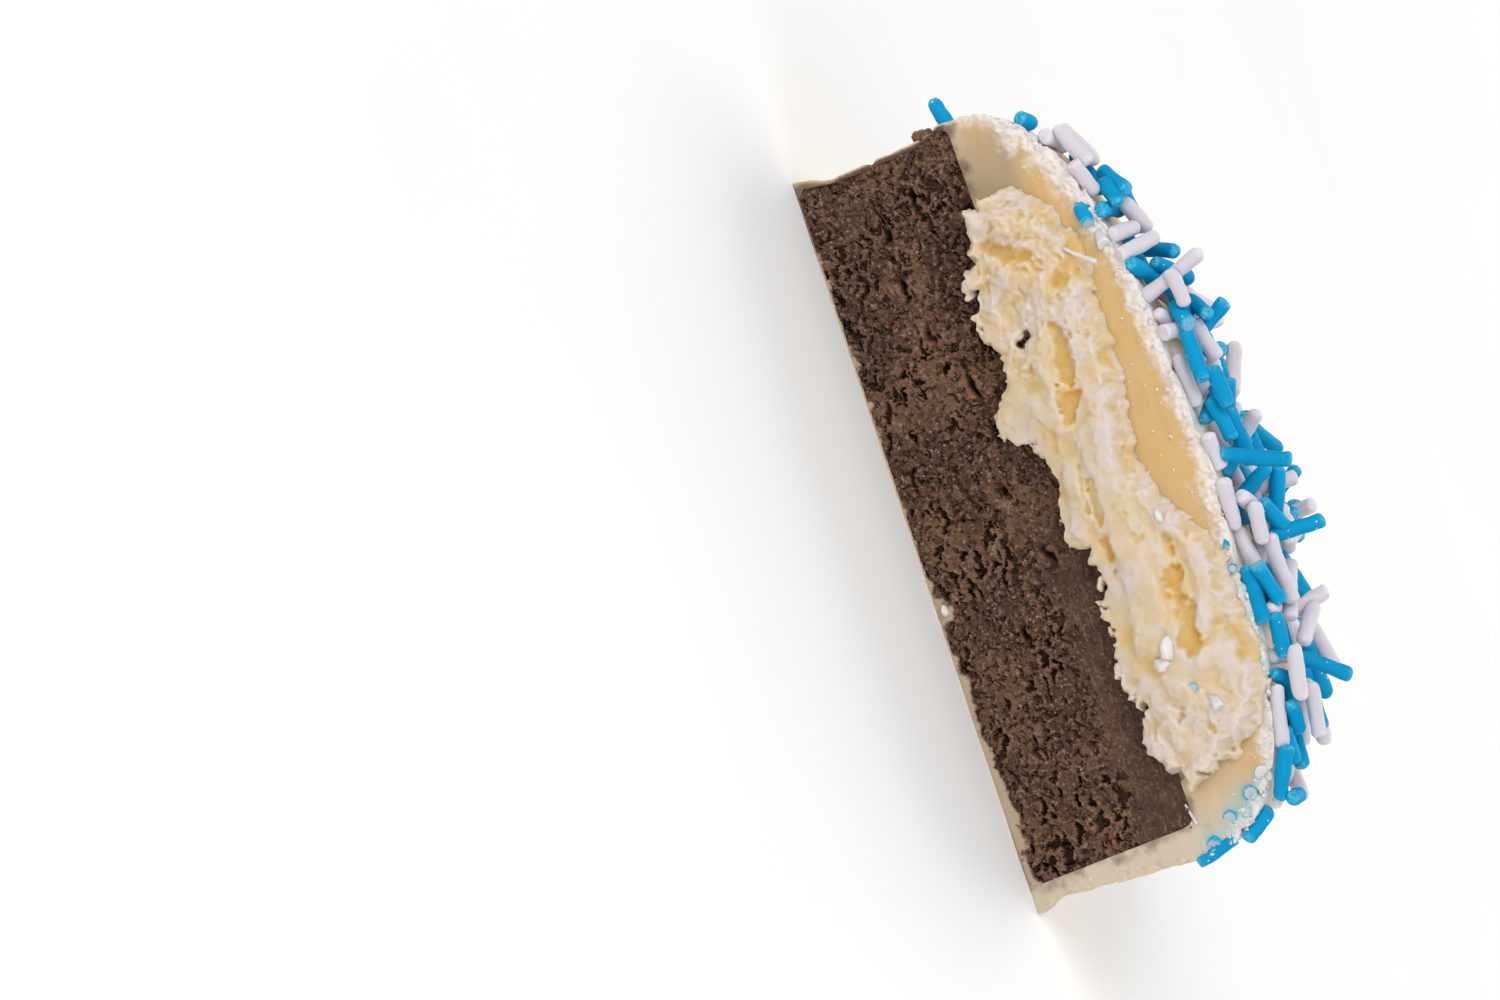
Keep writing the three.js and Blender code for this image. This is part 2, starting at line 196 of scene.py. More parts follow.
def work(piece, tool, kind):
    """Cuts, joins or trims a piece with a tool piece, which is used up."""
    step = piece.modifiers.new(kind, "BOOLEAN")
    step.operation, step.solver, step.object = kind, "MANIFOLD", tool
    bpy.context.view_layer.update()
    done = piece.evaluated_get(bpy.context.evaluated_depsgraph_get())
    plain = piece.data
    piece.data = bpy.data.meshes.new_from_object(done)
    piece.modifiers.clear()
    bpy.data.meshes.remove(plain)
    bpy.data.objects.remove(tool)
    return piece


def read(table, x, z, corner, step):
    """Reads a table of the cut plane between its points."""
    u = np.clip((x - corner[0]) / step, 0, table.shape[0] - 1.001)
    v = np.clip((z - corner[1]) / step, 0, table.shape[1] - 1.001)
    i, j = u.astype(int), v.astype(int)
    u, v = u - i, v - j
    near = table[i, j] * (1 - u) + table[i + 1, j] * u
    return near * (1 - v) + (table[i, j + 1] * (1 - u) + table[i + 1, j + 1] * u) * v


def softened(table, reach):
    """A table averaged over `reach` entries each way."""
    for axis in (0, 1):
        edge = [(reach + 1, reach) if a == axis else (0, 0) for a in (0, 1)]
        total = np.cumsum(np.pad(table, edge, mode="edge"), axis=axis)
        wide = 2 * reach + 1
        above, below = range(wide, total.shape[axis]), range(total.shape[axis] - wide)
        table = (np.take(total, above, axis) - np.take(total, below, axis)) / wide
    return table


def drawn_in(x, y, z):
    """How far the wall is drawn in at its -X end, where the dough shrank as it baked."""
    return 0.65 * smooth(-24, -31, x) * smooth(14, 4, abs(y)) * smooth(1, 4, z) * smooth(13.5, 10.5, z)


def biscuit_body(grow):
    """The whole biscuit before the cut, with its rim and lid grown by `grow`."""
    b = BISCUIT
    rim, lid = b["radius"] + grow, b["top"] + grow
    profile = [
        (0, b["bottom"]),
        (rim / 2, b["bottom"]),
        (rim - b["edge"], b["bottom"]),
        (rim, b["bottom"] + b["edge"]),
        *[(rim, height) for height in (3.5, 6, 8.5, 11, lid - 1.1)],
        (rim - 0.12, lid - 0.5),
        (rim - 0.45, lid - 0.12),
        (rim - 1, lid),
        *[(rim * share, lid) for share in (0.85, 0.7, 0.5, 0.25, 0)],
    ]

    def leaning(points):
        """Moves the turned points to where the dough leaned, climbed and shrank."""
        x, y, z = points.T
        share = z / b["top"]
        x = x + b["off_centre"] + b["lean"] * share
        return np.column_stack([x + drawn_in(x, y, z), y, z + b["climb"] * x * share**2])

    return turned("cut_biscuit", profile, SIDES, leaning)


def knife_smear(x, z):
    """How far the blade smeared the crumb shut: most in the upper half, towards +X."""
    return smooth(8.4, 12, z + 0.8 * waves(x, z, 6, 3)) * smooth(-10, 12, x)


def milky(x, z):
    """Where the knife drew white chocolate over the crumb: in a low strip along the base towards +X, which
    starts with a lump."""
    height = 0.4 * smooth(8, 9.5, x) + 0.6 * bump(x, 23.5, 2.5) + 1.1 * bump(x, 6, 1.2)
    height = height + 0.6 * smooth(28.5, 29.5, x)
    return smooth(0.16, -0.16, z - height - 0.35 * grain(on_cut(x, z), 0.9, 45, 3))


def crumb_face(x, z):
    """Depth of the cut crumb behind the cut plane."""
    flat = on_cut(x, z)
    u = x + 0.25 * grain(flat, 1.1, 1, 2)
    v = z - CRUMB_SLANT * x + 0.25 * grain(flat, 1.1, 3, 2)
    clusters = 0.35 + 0.65 * smooth(-0.3, 0.45, grain(flat, 4.5, 5, 2))
    hollows = np.maximum(0, waves(x + 0.55 * z, 2.1 * z, 5.5, 6) - 0.12)
    ragged = 0.1 * grain(flat, 0.24, 31, 2)
    missing = facets(0.6 * u + ragged, v - ragged, 0.43, 11)[1]
    missing = missing + 0.35 * grain(on_cut(0.25 * u, v), 0.9, 21, 2)
    pits = smooth(0.64, 0.72, missing) * clusters * (1 - 0.3 * smooth(-15, -20, x))
    pores = smooth(0.7, 0.76, facets(u + ragged, v - ragged, 0.27, 35)[1])
    grit = 0.45 * facets(u, 1.15 * v, 0.5, 41)[0] + 0.6 * facets(u, v, 0.26, 42)[0]
    rifts = 0.0
    for at_x, at_z, long, wide in RIFTS:
        rifts = rifts + np.exp(-(((u - at_x) / long) ** 2) - ((v - at_z + CRUMB_SLANT * at_x) / wide) ** 2)
    open_crumb = (1 - 0.85 * knife_smear(x, z)) * (1 - milky(x, z))
    d = CRUMB_DEPTHS
    broken = d["hollows"] * hollows + d["pits"] * pits + d["pores"] * pores - d["grit"] * grit + 0.08
    return CLEAN_CUT + open_crumb * broken + d["rifts"] * np.minimum(rifts, 1) * (1 + 0.4 * grit) + 0.05


# How far the crumb stands proud of what lies round it, as a table over the cut plane
crumb_corner = (-32.5, -0.5)
x, z = np.meshgrid(
    np.arange(crumb_corner[0], 31, CRUMB_STEP), np.arange(crumb_corner[1], 16, CRUMB_STEP), indexing="ij"
)
crumb = crumb_face(x.ravel(), z.ravel()).reshape(x.shape)
proud = softened(crumb, 5) - crumb

biscuit = biscuit_body(0)
work(biscuit, behind_cut(crumb_face, CRUMB_STEP, (-31.8, 30.2), (0.1, 15.4)), "INTERSECT")


def linear(hex_colour):
    """A linear colour from an sRGB hex value."""
    values = [int(hex_colour[i : i + 2], 16) / 255 for i in (1, 3, 5)]
    return (*[v / 12.92 if v <= 0.04045 else ((v + 0.055) / 1.055) ** 2.4 for v in values], 1)


def add(material, kind, sockets=None, **settings):
    """Adds a node. A socket is given a value, or another node's output to be linked to."""
    node = material.node_tree.nodes.new("ShaderNode" + kind)
    for name, value in settings.items():
        setattr(node, name, value)
    for name, value in (sockets or {}).items():
        if isinstance(value, bpy.types.NodeSocket):
            material.node_tree.links.new(value, node.inputs[name])
        else:
            node.inputs[name].default_value = value
    return node


def new_material(name):
    """An empty material and the place in mm: a pattern's scale is how many grains of it go into 1 mm."""
    material = bpy.data.materials.new(name)
    material.use_nodes = True
    material.node_tree.nodes.clear()
    place = add(material, "TexCoord").outputs["Object"]
    in_mm = add(material, "VectorMath", {0: place, "Scale": 1 / MM}, operation="SCALE").outputs["Vector"]
    return material, in_mm


def specks(material, place, scale, rarity, radius):
    """1 in small round specks and 0 between them. They are fewer, the nearer that `rarity` comes to 1."""
    cells = add(material, "TexVoronoi", {"Vector": place, "Scale": scale})
    pick = add(material, "SeparateColor", {0: cells.outputs["Color"]})
    rare = add(material, "Math", {0: pick.outputs[0], 1: rarity}, operation="GREATER_THAN")
    dot = add(material, "Math", {0: cells.outputs["Distance"], 1: radius}, operation="LESS_THAN")
    return add(material, "Math", {0: rare.outputs[0], 1: dot.outputs[0]}, operation="MULTIPLY").outputs[0]


def dress(piece, material, slot, *nodes):
    """Gives a finished piece its material and its body, and hides the model's solids that it stands for. The
    slot is not used.
    """
    piece.data.materials.clear()
    piece.data.materials.append(material)
    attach(piece, "root")
    if nodes:
        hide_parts(*nodes)


def mark(piece, name, values):
    """Stores a value for each vertex, for the material to read."""
    piece.data.attributes.new(name, "FLOAT", "POINT").data.foreach_set("value", values.astype(np.float32))


def baked_chocolate_crumb():
    """Dry baked cocoa dough, broken by the knife: dull, with painted shade in its pits, painted highlights
    where it stands proud, and paler grains of sugar.
    """
    material, place = new_material("baked_chocolate_crumb")

    # Lighter and darker dough, in grains of three sizes
    tone = 0
    for share, scale in ((0.25, 0.35), (0.22, 2), (0.53, 7)):
        grade = add(material, "TexNoise", {"Vector": place, "Scale": scale, "Detail": 3, "Roughness": 0.7})
        layer = add(material, "Math", {0: grade.outputs["Fac"], 1: share, 2: tone}, operation="MULTIPLY_ADD")
        tone = layer.outputs[0]
    shades = add(material, "ValToRGB", {"Fac": tone})
    shades.color_ramp.elements[0].position, shades.color_ramp.elements[0].color = 0.38, linear("#341e17")
    shades.color_ramp.elements[1].position, shades.color_ramp.elements[1].color = 0.62, linear("#806051")
    shades.color_ramp.elements.new(0.5).color = linear("#553a2d")
    colour = shades.outputs["Color"]

    # Browner and greyer patches, then single crystals that are brighter or dimmer
    patch = add(material, "TexNoise", {"Vector": place, "Scale": 0.22, "Detail": 3, "Roughness": 0.6})
    tan = add(material, "MapRange", {0: patch.outputs["Fac"], 1: 0.5, 2: 0.62, 4: 0.6})
    grey = add(material, "MapRange", {0: patch.outputs["Fac"], 1: 0.48, 2: 0.38, 4: 0.6})
    shifted = add(material, "TexNoise", {"Vector": place, "Scale": 3, "Detail": 2})
    spot = add(
        material, "MixRGB", {"Fac": 0.12, "Color1": place, "Color2": shifted.outputs["Color"]},
        blend_type="ADD",
    )
    crystals = add(material, "TexVoronoi", {"Vector": spot.outputs[0], "Scale": 4.2})
    crystal = add(material, "SeparateColor", {0: crystals.outputs["Color"]})
    bright = add(material, "MapRange", {0: crystal.outputs[0], 1: 0.72, 2: 1, 4: 0.55})
    dim = add(material, "MapRange", {0: crystal.outputs[1], 1: 0.28, 2: 0, 4: 0.55})

    # Painted highlight where it stands proud and painted shade in its pits, and a few grains of sugar
    proud = add(material, "Attribute", attribute_name="proud")
    lip = add(material, "MapRange", {0: proud.outputs["Fac"], 1: 0.03, 2: 0.22, 4: 0.5})
    depth = add(material, "Attribute", attribute_name="depth")
    painted_pit_shade = add(material, "MapRange", {0: depth.outputs["Fac"], 1: 0.3, 2: 1.0, 4: 0.85})
    sugar_grain = specks(material, place, 2.8, 0.94, 0.28)

    # Smeared by the blade, with fine scratches along its way
    smear = add(material, "Attribute", attribute_name="smear")
    smeared = add(material, "Math", {0: smear.outputs["Fac"], 1: 0.55}, operation="MULTIPLY")
    drawn = add(material, "Mapping", {"Vector": place, "Rotation": (0, 0.4, 0), "Scale": (0.3, 1, 4)})
    lines = add(material, "TexNoise", {"Vector": drawn.outputs[0], "Scale": 1, "Detail": 3, "Roughness": 0.7})
    line = add(material, "MapRange", {0: lines.outputs["Fac"], 1: 0.56, 2: 0.72, 4: 0.4})
    scratch = add(material, "Math", {0: line.outputs[0], 1: smear.outputs["Fac"]}, operation="MULTIPLY")
    milk = add(material, "Attribute", attribute_name="milk")

    # Each tint is laid over those before it
    for share, over in (
        (tan.outputs[0], "#7c5e46"),
        (grey.outputs[0], "#4c3931"),
        (bright.outputs[0], "#a1897b"),
        (dim.outputs[0], "#33201a"),
        # painted highlight on what stands proud
        (lip.outputs[0], "#8d6957"),
        # painted shade in the pits
        (painted_pit_shade.outputs[0], "#2b1810"),
        (sugar_grain, "#a08878"),
        (smeared.outputs[0], "#513c33"),
        (scratch.outputs[0], "#9a8278"),
        (milk.outputs["Fac"], "#b7a18b"),
    ):
        mixed = add(material, "Mix", {"Factor": share, "A": colour, "B": linear(over)}, data_type="RGBA")
        colour = mixed.outputs["Result"]
    rough = add(material, "Bump", {"Strength": 0.7, "Distance": 0.00008, "Height": crystal.outputs[2]})
    surface = add(
        material, "BsdfPrincipled", {"Base Color": colour, "Roughness": 0.85, "Normal": rough.outputs[0]}
    )
    surface.inputs["Specular IOR Level"].default_value = 0.15
    add(material, "OutputMaterial", {"Surface": surface.outputs[0]})
    return material


x, y, z = places(biscuit).T
# Depth darkens the pits as painted shade; how far the crumb stands proud lightens it as a painted highlight
mark(biscuit, "depth", np.where(y < 3, y, 0))
mark(biscuit, "proud", np.where(y < 3, read(proud, x, z, crumb_corner, CRUMB_STEP), 0))
mark(biscuit, "smear", knife_smear(x, z))
mark(biscuit, "milk", milky(x, z))
crumb_material = baked_chocolate_crumb()
dress(biscuit, crumb_material, "biscuit", "chocolate_biscuit")

# ---- Buttercream ---------------------------------------------------------------------------------------
# Vanilla buttercream, piped on the biscuit as a low dollop before the coat went on. The knife tore it and
# dragged it out over the cut face in waxy flakes, pale where they stand proud and golden and darker in the
# hollows, partly the oily cream's own colour and partly painted shade.

CREAM = dict(radius=24.3, low=14, top=20.1, power=2.3, off_centre=1.1, hidden_front=0.25, torn_back=0.8)
TORN_OUTLINE = [  # x and z round the torn patch: from its low -X corner along the biscuit, back over the coat
    (-23.8, 14.3), (-22.1, 12.3), (-18.8, 11.1), (-16.8, 12.1), (-14.7, 11.5), (-11.4, 12.3), (-9.4, 11.5),
    (-7.2, 9.4), (-5.4, 10.4), (-3.6, 13.1), (-0.2, 13.3), (3.4, 12.2), (4.8, 13.4), (8.3, 13.9),
    (12.5, 13.8), (16.2, 13.1), (18.4, 13.6), (20.8, 13.3), (24.2, 13.6), (25.3, 15),
    (25, 19.6), (22.4, 23.2), (17.8, 24.6), (12.4, 24.5), (7.4, 24), (4.4, 22), (1.2, 20.5), (-3, 20.8),
    (-8.4, 21.2), (-13.9, 21.3), (-17.6, 21.7), (-20.9, 20.3), (-23.9, 18.2), (-24.4, 16.4),
]  # fmt: skip
FOLDS = [  # height, half width, then x and z of points along each: where the cream was dragged into a fold
    (0.8, 0.75, [(-23.2, 13.3), (-21.7, 16.4), (-20.4, 19.3), (-19.3, 20.6)]),
    (0.5, 0.8, [(-22, 12.6), (-20, 12.2), (-18.5, 11.8)]),
    (0.6, 0.6, [(-18.3, 12.7), (-17, 16.6), (-16.6, 17.7)]),
    (0.5, 0.9, [(-16.2, 13), (-14, 12.9), (-12.7, 13.1)]),
    (0.4, 0.5, [(-14.9, 15.7), (-15.7, 17.1)]),
    (1.1, 1.35, [(-14.7, 19.7), (-12.4, 19.8), (-9.6, 19.2), (-7, 19.4), (-3.9, 19.3), (-1.5, 19.2)]),
    (0.7, 0.85, [(-13.7, 17.3), (-11.5, 16.1), (-9.3, 15.6), (-7.8, 15.9)]),
    (0.4, 0.7, [(-10.6, 13.6), (-8.7, 12.5), (-7.2, 11.3)]),
    (0.6, 0.6, [(-7.5, 13.8), (-5.6, 14.5), (-4.9, 15.5)]),
    (0.5, 0.8, [(-3.8, 15.6), (-0.8, 14.9), (1.7, 14.5), (3.9, 14.2)]),
    (1.0, 1.3, [(-3.3, 17.6), (-0.4, 17.4), (3.3, 17.5), (7.8, 17.6), (11.5, 17.6), (13.8, 16.6)]),
    (0.7, 1.1, [(1.7, 19.9), (4.6, 21.1), (7.3, 22.3), (11, 22.3), (13.7, 21.6)]),
    (0.6, 0.7, [(10.9, 23.2), (13, 24.3), (14.9, 24.3)]),
    (0.8, 1.2, [(16.4, 20.9), (17.9, 22.8), (21.5, 22.6), (23.5, 21.1)]),
    (0.6, 0.9, [(17.8, 17.3), (19.9, 20.1), (21.8, 20.4)]),
    (0.5, 0.9, [(20, 15.6), (23.1, 17.1), (24.6, 17.2)]),
    (0.9, 1.0, [(22, 14.3), (24.2, 14.2), (25, 15.3)]),
]
CREASES = [  # depth, half width, then the x and z of points along each: the smooth, oily hollows between them
    (1.1, 0.75, [(-20.5, 14.3), (-19.3, 16.1), (-18.2, 17.6)]),
    (1.2, 0.9, [(-16.2, 19.2), (-17.6, 20.6), (-19.3, 21.6)]),
    (1.0, 0.38, [(-12.3, 17.6), (-10.1, 17.5), (-7.4, 17.1), (-5.3, 16.4)]),
    (0.5, 0.4, [(-15.7, 15.6), (-15.8, 14.8)]),
    (0.5, 0.3, [(-10.2, 14.5), (-9.6, 14.5)]),
    (0.6, 0.3, [(0.4, 16.3), (2.5, 16), (5.2, 15.9), (7.6, 15.9)]),
    (0.4, 0.22, [(3.5, 18), (4.8, 18), (5.9, 18.4)]),
    (0.9, 0.5, [(6.6, 20.3), (7.8, 20.6)]),
    (1.3, 0.75, [(9.4, 19.7), (12.4, 19.9), (15.6, 19.7)]),
    (1.4, 1.3, [(15.3, 22.8), (15.6, 23.6), (16.5, 23.9)]),
    (0.6, 0.3, [(20.1, 17.1), (20.7, 16.7)]),
    (0.6, 0.3, [(21.4, 18.4), (22.1, 19.1)]),
    (0.5, 0.25, [(-1.7, 15.9), (1.2, 15.3), (2.5, 15)]),
]
TORN_GAP = [(-12.9, 14.9), (-12.1, 14.3)]  # x and z along the gap torn through to the biscuit
FURTHEST_STAND = 3.05  # in front of the cut plane
CREAM_STEP = 0.125  # from one point of the cream's mesh to the next
FOLD_STEP = 0.06  # from one entry of the tables of its folds to the next


def flakes(value, each, lip):
    """Turns an even rise into flakes, one over the other, each flat with a torn lip that stands up."""
    level = np.floor(value / each)
    part = value / each - level
    return each * (level + smooth(0, 0.16, part) + lip * bump(part, 0.2, 0.15))


def from_line(x, z, line):
    """Distance of points of the cut plane from a line of straight parts."""
    nearest = np.full(np.shape(x), np.inf)
    for (ax, az), (bx, bz) in itertools.pairwise(line):
        ex, ez = bx - ax, bz - az
        share = np.clip(((x - ax) * ex + (z - az) * ez) / max(ex * ex + ez * ez, 1e-9), 0, 1)
        nearest = np.minimum(nearest, np.hypot(x - ax - share * ex, z - az - share * ez))
    return nearest


def strokes(x, z, kind, ragged, power):
    """The height of a set of strokes of the knife: bands with edges torn by `ragged`, and steeper the higher
    the power."""
    total = 0.0
    for height, half, line in kind:
        away = np.maximum(0, from_line(x, z, line) + ragged) / half
        total = total + height * np.exp(-(away**power))
    return total


def over_biscuit(x, z):
    """1 on the lower side of the torn cream, which hangs over the biscuit in flakes, and 0 by the coat."""
    return smooth(1.5, -1.5, z - 17.7 - 0.06 * x)


def torn_stand(x, z):
    """How far the torn cream stands out in front of the cut plane, rounded off where it stands furthest, and
    how far its oily creases go in."""
    flat = on_cut(x, z)
    drawn_out = on_cut(0.3 * x, z + 0.1 * x)
    curdled = smooth(-7, -13, x) + 0.6 * smooth(17, 20, x)
    torn = 0.16 * grain(flat, 1.1, 71, 2) + 0.1 * grain(flat, 0.45, 73, 2)
    creases = 0.5 * strokes(x, z, CREASES, 2 * torn + 0.32 * grain(flat, 2.1, 79, 2), 3)
    plain = np.maximum(0, 1 - creases)
    base = 0.8 + 1.2 * bump(z, 17.7 + 0.06 * x, 5) + 0.2 * waves(0.5 * x, z + 0.12 * x, 4.6, 3)
    folds = 0.38 * strokes(x, z, FOLDS, torn + 0.25 * grain(drawn_out, 2.2, 75, 2), 5)
    sheets = 0.42 * flakes(0.32 * grain(drawn_out, 3.2, 61, 2, 0.4) + 0.25 * torn, 0.26, 0.25)
    curds = flakes(0.42 * grain(flat, 2.2, 65, 2, 0.45) + 0.3 * torn, 0.28, 0.15)
    fine = (0.03 + 0.04 * curdled) * grain(on_cut(0.7 * x, z), 0.5, 67, 3)
    fine = fine + 0.05 * curdled * grain(flat, 0.3, 63, 2)
    stand = base + folds + plain * (sheets + curds * (0.06 + 0.6 * curdled) + fine) - creases
    short_of = FURTHEST_STAND - np.maximum(stand, 0.25)
    return FURTHEST_STAND - np.logaddexp(0, 5 * short_of) / 5, creases


def closed_curve(points, each):
    """Points along a smooth closed curve, `each` of them between one given point and the next."""
    p = np.array(points, float)
    a, b, c, d = np.roll(p, 1, 0), p, np.roll(p, -1, 0), np.roll(p, -2, 0)
    t = (np.arange(each) / each)[None, :, None]
    a, b, c, d = (v[:, None] for v in (a, b, c, d))
    curve = b + 0.5 * t * (c - a + t * (2 * a - 5 * b + 4 * c - d + t * (3 * (b - c) + d - a)))
    return curve.reshape(-1, 2)


def outside(x, z, loop):
    """Distance from a closed outline in the cut plane, negative inside it."""
    closed = [*loop, loop[0]]
    within = np.zeros(x.shape, bool)
    for (ax, az), (bx, bz) in itertools.pairwise(closed):
        within ^= ((az > z) != (bz > z)) & (x < ax + (z - az) * (bx - ax) / ((bz - az) or 1e-9))
    return np.where(within, -1, 1) * from_line(x, z, closed)


def largest_part(points, faces):
    """The largest of the separate parts of a mesh, without the loose scraps."""
    faces, part = faces.astype(int), np.arange(len(points))
    while True:
        joint = part.copy()
        for column in faces.T:
            np.minimum.at(joint, column, part[faces].min(axis=1))
        joint = joint[joint]
        if (joint == part).all():
            break
        part = joint
    kept = part == np.bincount(part).argmax()
    return points[kept], (np.cumsum(kept) - 1)[faces[kept[faces[:, 0]]]]


# Tables of the stand and of the outline over the cut plane
table_corner = (-28.0, 7.5)
x, z = np.meshgrid(
    np.arange(table_corner[0], 29, FOLD_STEP), np.arange(table_corner[1], 27.5, FOLD_STEP), indexing="ij"
)
flat = on_cut(x.ravel(), z.ravel())
stand, creases = [table.reshape(x.shape) for table in torn_stand(x.ravel(), z.ravel())]
flaky = 0.5 + 0.5 * over_biscuit(x, z) * (1 - 0.6 * bump(x, 12, 6))
teeth = 0.5 * grain(flat, 2.4, 83, 2) + 0.48 * grain(flat, 1.05, 81, 2) + 0.3 * grain(flat, 0.42, 85, 2)
outline = outside(x, z, closed_curve(TORN_OUTLINE, 8)) + flaky * teeth.reshape(x.shape)
gap = 0.5 - from_line(x, z, TORN_GAP) + 0.5 * teeth.reshape(x.shape)
outline = np.maximum(outline, gap)
thinned = np.minimum(1, 0.2 + np.maximum(0, -outline) / 1.8)
stand *= thinned + (1 - thinned) * over_biscuit(x, z)

# The torn cream as a solid: below zero inside, with its flakes pushed about so that they overhang
axes = [np.arange(low, high, CREAM_STEP) for low, high in ((-26.6, 27.6), (-3.5, 1.6), (8.6, 26.2))]
points = np.stack(np.meshgrid(*axes, indexing="ij"), axis=-1).reshape(-1, 3)
x, y, z = points.T
front = -read(stand, x, z, table_corner, FOLD_STEP) - y
body = np.maximum(front, read(outline, x, z, table_corner, FOLD_STEP))
close = np.abs(body) < 1.3
near = points[close]
drag = 0.12 + 0.1 * over_biscuit(near[:, 0], near[:, 2])
x = near[:, 0] + drag * grain(near, 1.4, 91, 2)
z = near[:, 2] + drag * grain(near, 1.4, 95, 2)
y = near[:, 1] + 0.03 * grain(near, 0.45, 98, 2)
front = -read(stand, x, z, table_corner, FOLD_STEP) - y
edge = read(outline, x, z, table_corner, FOLD_STEP)
round_off = 0.16
body[close] = np.maximum(front, edge) + round_off * np.exp(-np.abs(front - edge) / round_off)
body = np.maximum(body, points[:, 1] - CREAM["torn_back"]).reshape([len(axis) for axis in axes])
body = np.pad(body, 1, constant_values=1)
solid = openvdb.FloatGrid(1.0)
solid.copyFromArray(body.astype(np.float32))
corners, _, quads = solid.convertToPolygons(isovalue=0.0, adaptivity=0.0)
corners, quads = largest_part(corners, quads)
corners = (corners - 1) * CREAM_STEP + [axis[0] for axis in axes]
cream = piece_of("torn_buttercream", corners, quads.tolist())


def dome(radius, low, high, power, count):
    """The (radius, height) points of a dome whose section is a quarter of a superellipse, from its rim up."""
    turn = np.arange(count + 1) / count * math.pi / 2
    out = np.cos(turn).clip(0) ** (2 / power)
    out[-1] = 0
    return np.column_stack([radius * out, low + (high - low) * np.sin(turn) ** (2 / power)])


def dollop(grow):
    """The part of the cream that stays hidden on the biscuit, behind the cut."""
    c = CREAM
    rise = dome(c["radius"] + grow, c["low"], c["top"] + grow, c["power"], 24)
    profile = [(0, c["low"]), (c["radius"] / 2, c["low"]), *rise]
    return turned("dollop", profile, SIDES, lambda points: points + (c["off_centre"], 0, 0))


def flat_cut(depth):
    """A block with everything further than `depth` behind the cut plane."""
    return behind_cut(lambda x, z: np.full(len(x), depth), 10, (-40, 40), (-5, 35))


work(cream, work(dollop(0), flat_cut(CREAM["hidden_front"]), "INTERSECT"), "UNION")


def torn_buttercream():
    """Cool, waxy buttercream that lets light in: pinkish white where proud, golden in hollows as oily cream
    and painted shade.
    """
    material, place = new_material("torn_buttercream")
    hollow = add(material, "Attribute", attribute_name="hollow")
    mottle = add(material, "TexNoise", {"Vector": place, "Scale": 0.4, "Detail": 3, "Roughness": 0.55})
    uneven = add(material, "MapRange", {0: mottle.outputs["Fac"], 1: 0.3, 2: 0.7, 3: -0.4, 4: 0.4})
    depth = add(material, "Math", {0: hollow.outputs["Fac"], 1: uneven.outputs[0]}, operation="ADD")
    fold = add(material, "MapRange", {0: depth.outputs[0], 1: -0.5, 2: 1.1})
    tone = add(material, "ValToRGB", {"Fac": fold.outputs[0]})
    ramp = tone.color_ramp
    # From pinkish white to a darker gold: partly the cream's own colour, partly painted shade in the hollows
    ramp.elements[0].position, ramp.elements[0].color = 0.02, linear("#d9cac3")
    ramp.elements[1].position, ramp.elements[1].color = 0.95, linear("#dbb15c")
    ramp.elements.new(0.22).color = linear("#d9c7af")
    ramp.elements.new(0.42).color = linear("#d9c199")
    ramp.elements.new(0.62).color = linear("#dab979")
    surface = add(
        material,
        "BsdfPrincipled",
        {
            "Base Color": tone.outputs[0],
            "Roughness": 0.5,
            "Subsurface Weight": 0.7,
            "Subsurface Scale": 0.0013,
        },
    )
    surface.inputs["Subsurface Radius"].default_value = (1, 0.82, 0.55)
    surface.inputs["Specular IOR Level"].default_value = 0.35
    fine = add(material, "TexNoise", {"Vector": place, "Scale": 3.2, "Detail": 4, "Roughness": 0.65})
    grainy = add(material, "Bump", {"Strength": 0.4, "Distance": 0.0001, "Height": fine.outputs["Fac"]})
    material.node_tree.links.new(grainy.outputs[0], surface.inputs["Normal"])
    add(material, "OutputMaterial", {"Surface": surface.outputs[0]})
    return material


cream.data.shade_smooth()
x, y, z = places(cream).T
well_in = smooth(0.1, 1.2, -outline)
level, inner, crease = (
    read(table, x, z, table_corner, FOLD_STEP)
    for table in (softened(stand, 18) * well_in, well_in, 0.75 * creases)
)
# How far each point lies behind the smoothed front: more in a crease, less at the torn edge and towards +X.
# The material turns it gold and darker, partly the oily cream's own colour and partly painted shade
hollow = 1.15 * (y * inner + level) + crease - 0.15 * (1 - inner) - 0.14 * smooth(14, 20, x)
mark(cream, "hollow", np.where(y < 1, hollow, 0))
dress(cream, torn_buttercream(), "cream", "buttercream")

# ---- White chocolate coat ------------------------------------------------------------------------------
# White compound chocolate that the filled biscuit was dipped in. It ran down into a wavy foot and set satin.
# At the cut it snapped smooth and golden inside, and chalky and crumbled along its outer edge.

COAT = dict(radius=31.2, belly=0.6, wall_top=14, top=25.5, power=2.6, lean=2.8, foot_height=2.4, sides=520)
COAT_STEP = 0.12  # from one point of its broken edge to the next
WET_SPOTS = ((27.9, 19.9), (29.3, 17.8), (30.6, 16))  # x and z where snapped blue sprinkles stained it


def foot_width(angle):
    """How far the chocolate that ran down stands out round the base, by angle from +X."""
    pools = 2.7 * bump(angle, 2.2, 0.48) + 1.5 * bump(angle, 0.9, 0.3) + 0.5 * bump(angle, 0, 0.14)
    return 0.1 + pools + 0.25 * np.sin(angle) ** 2 * (1 + np.cos(13 * angle))


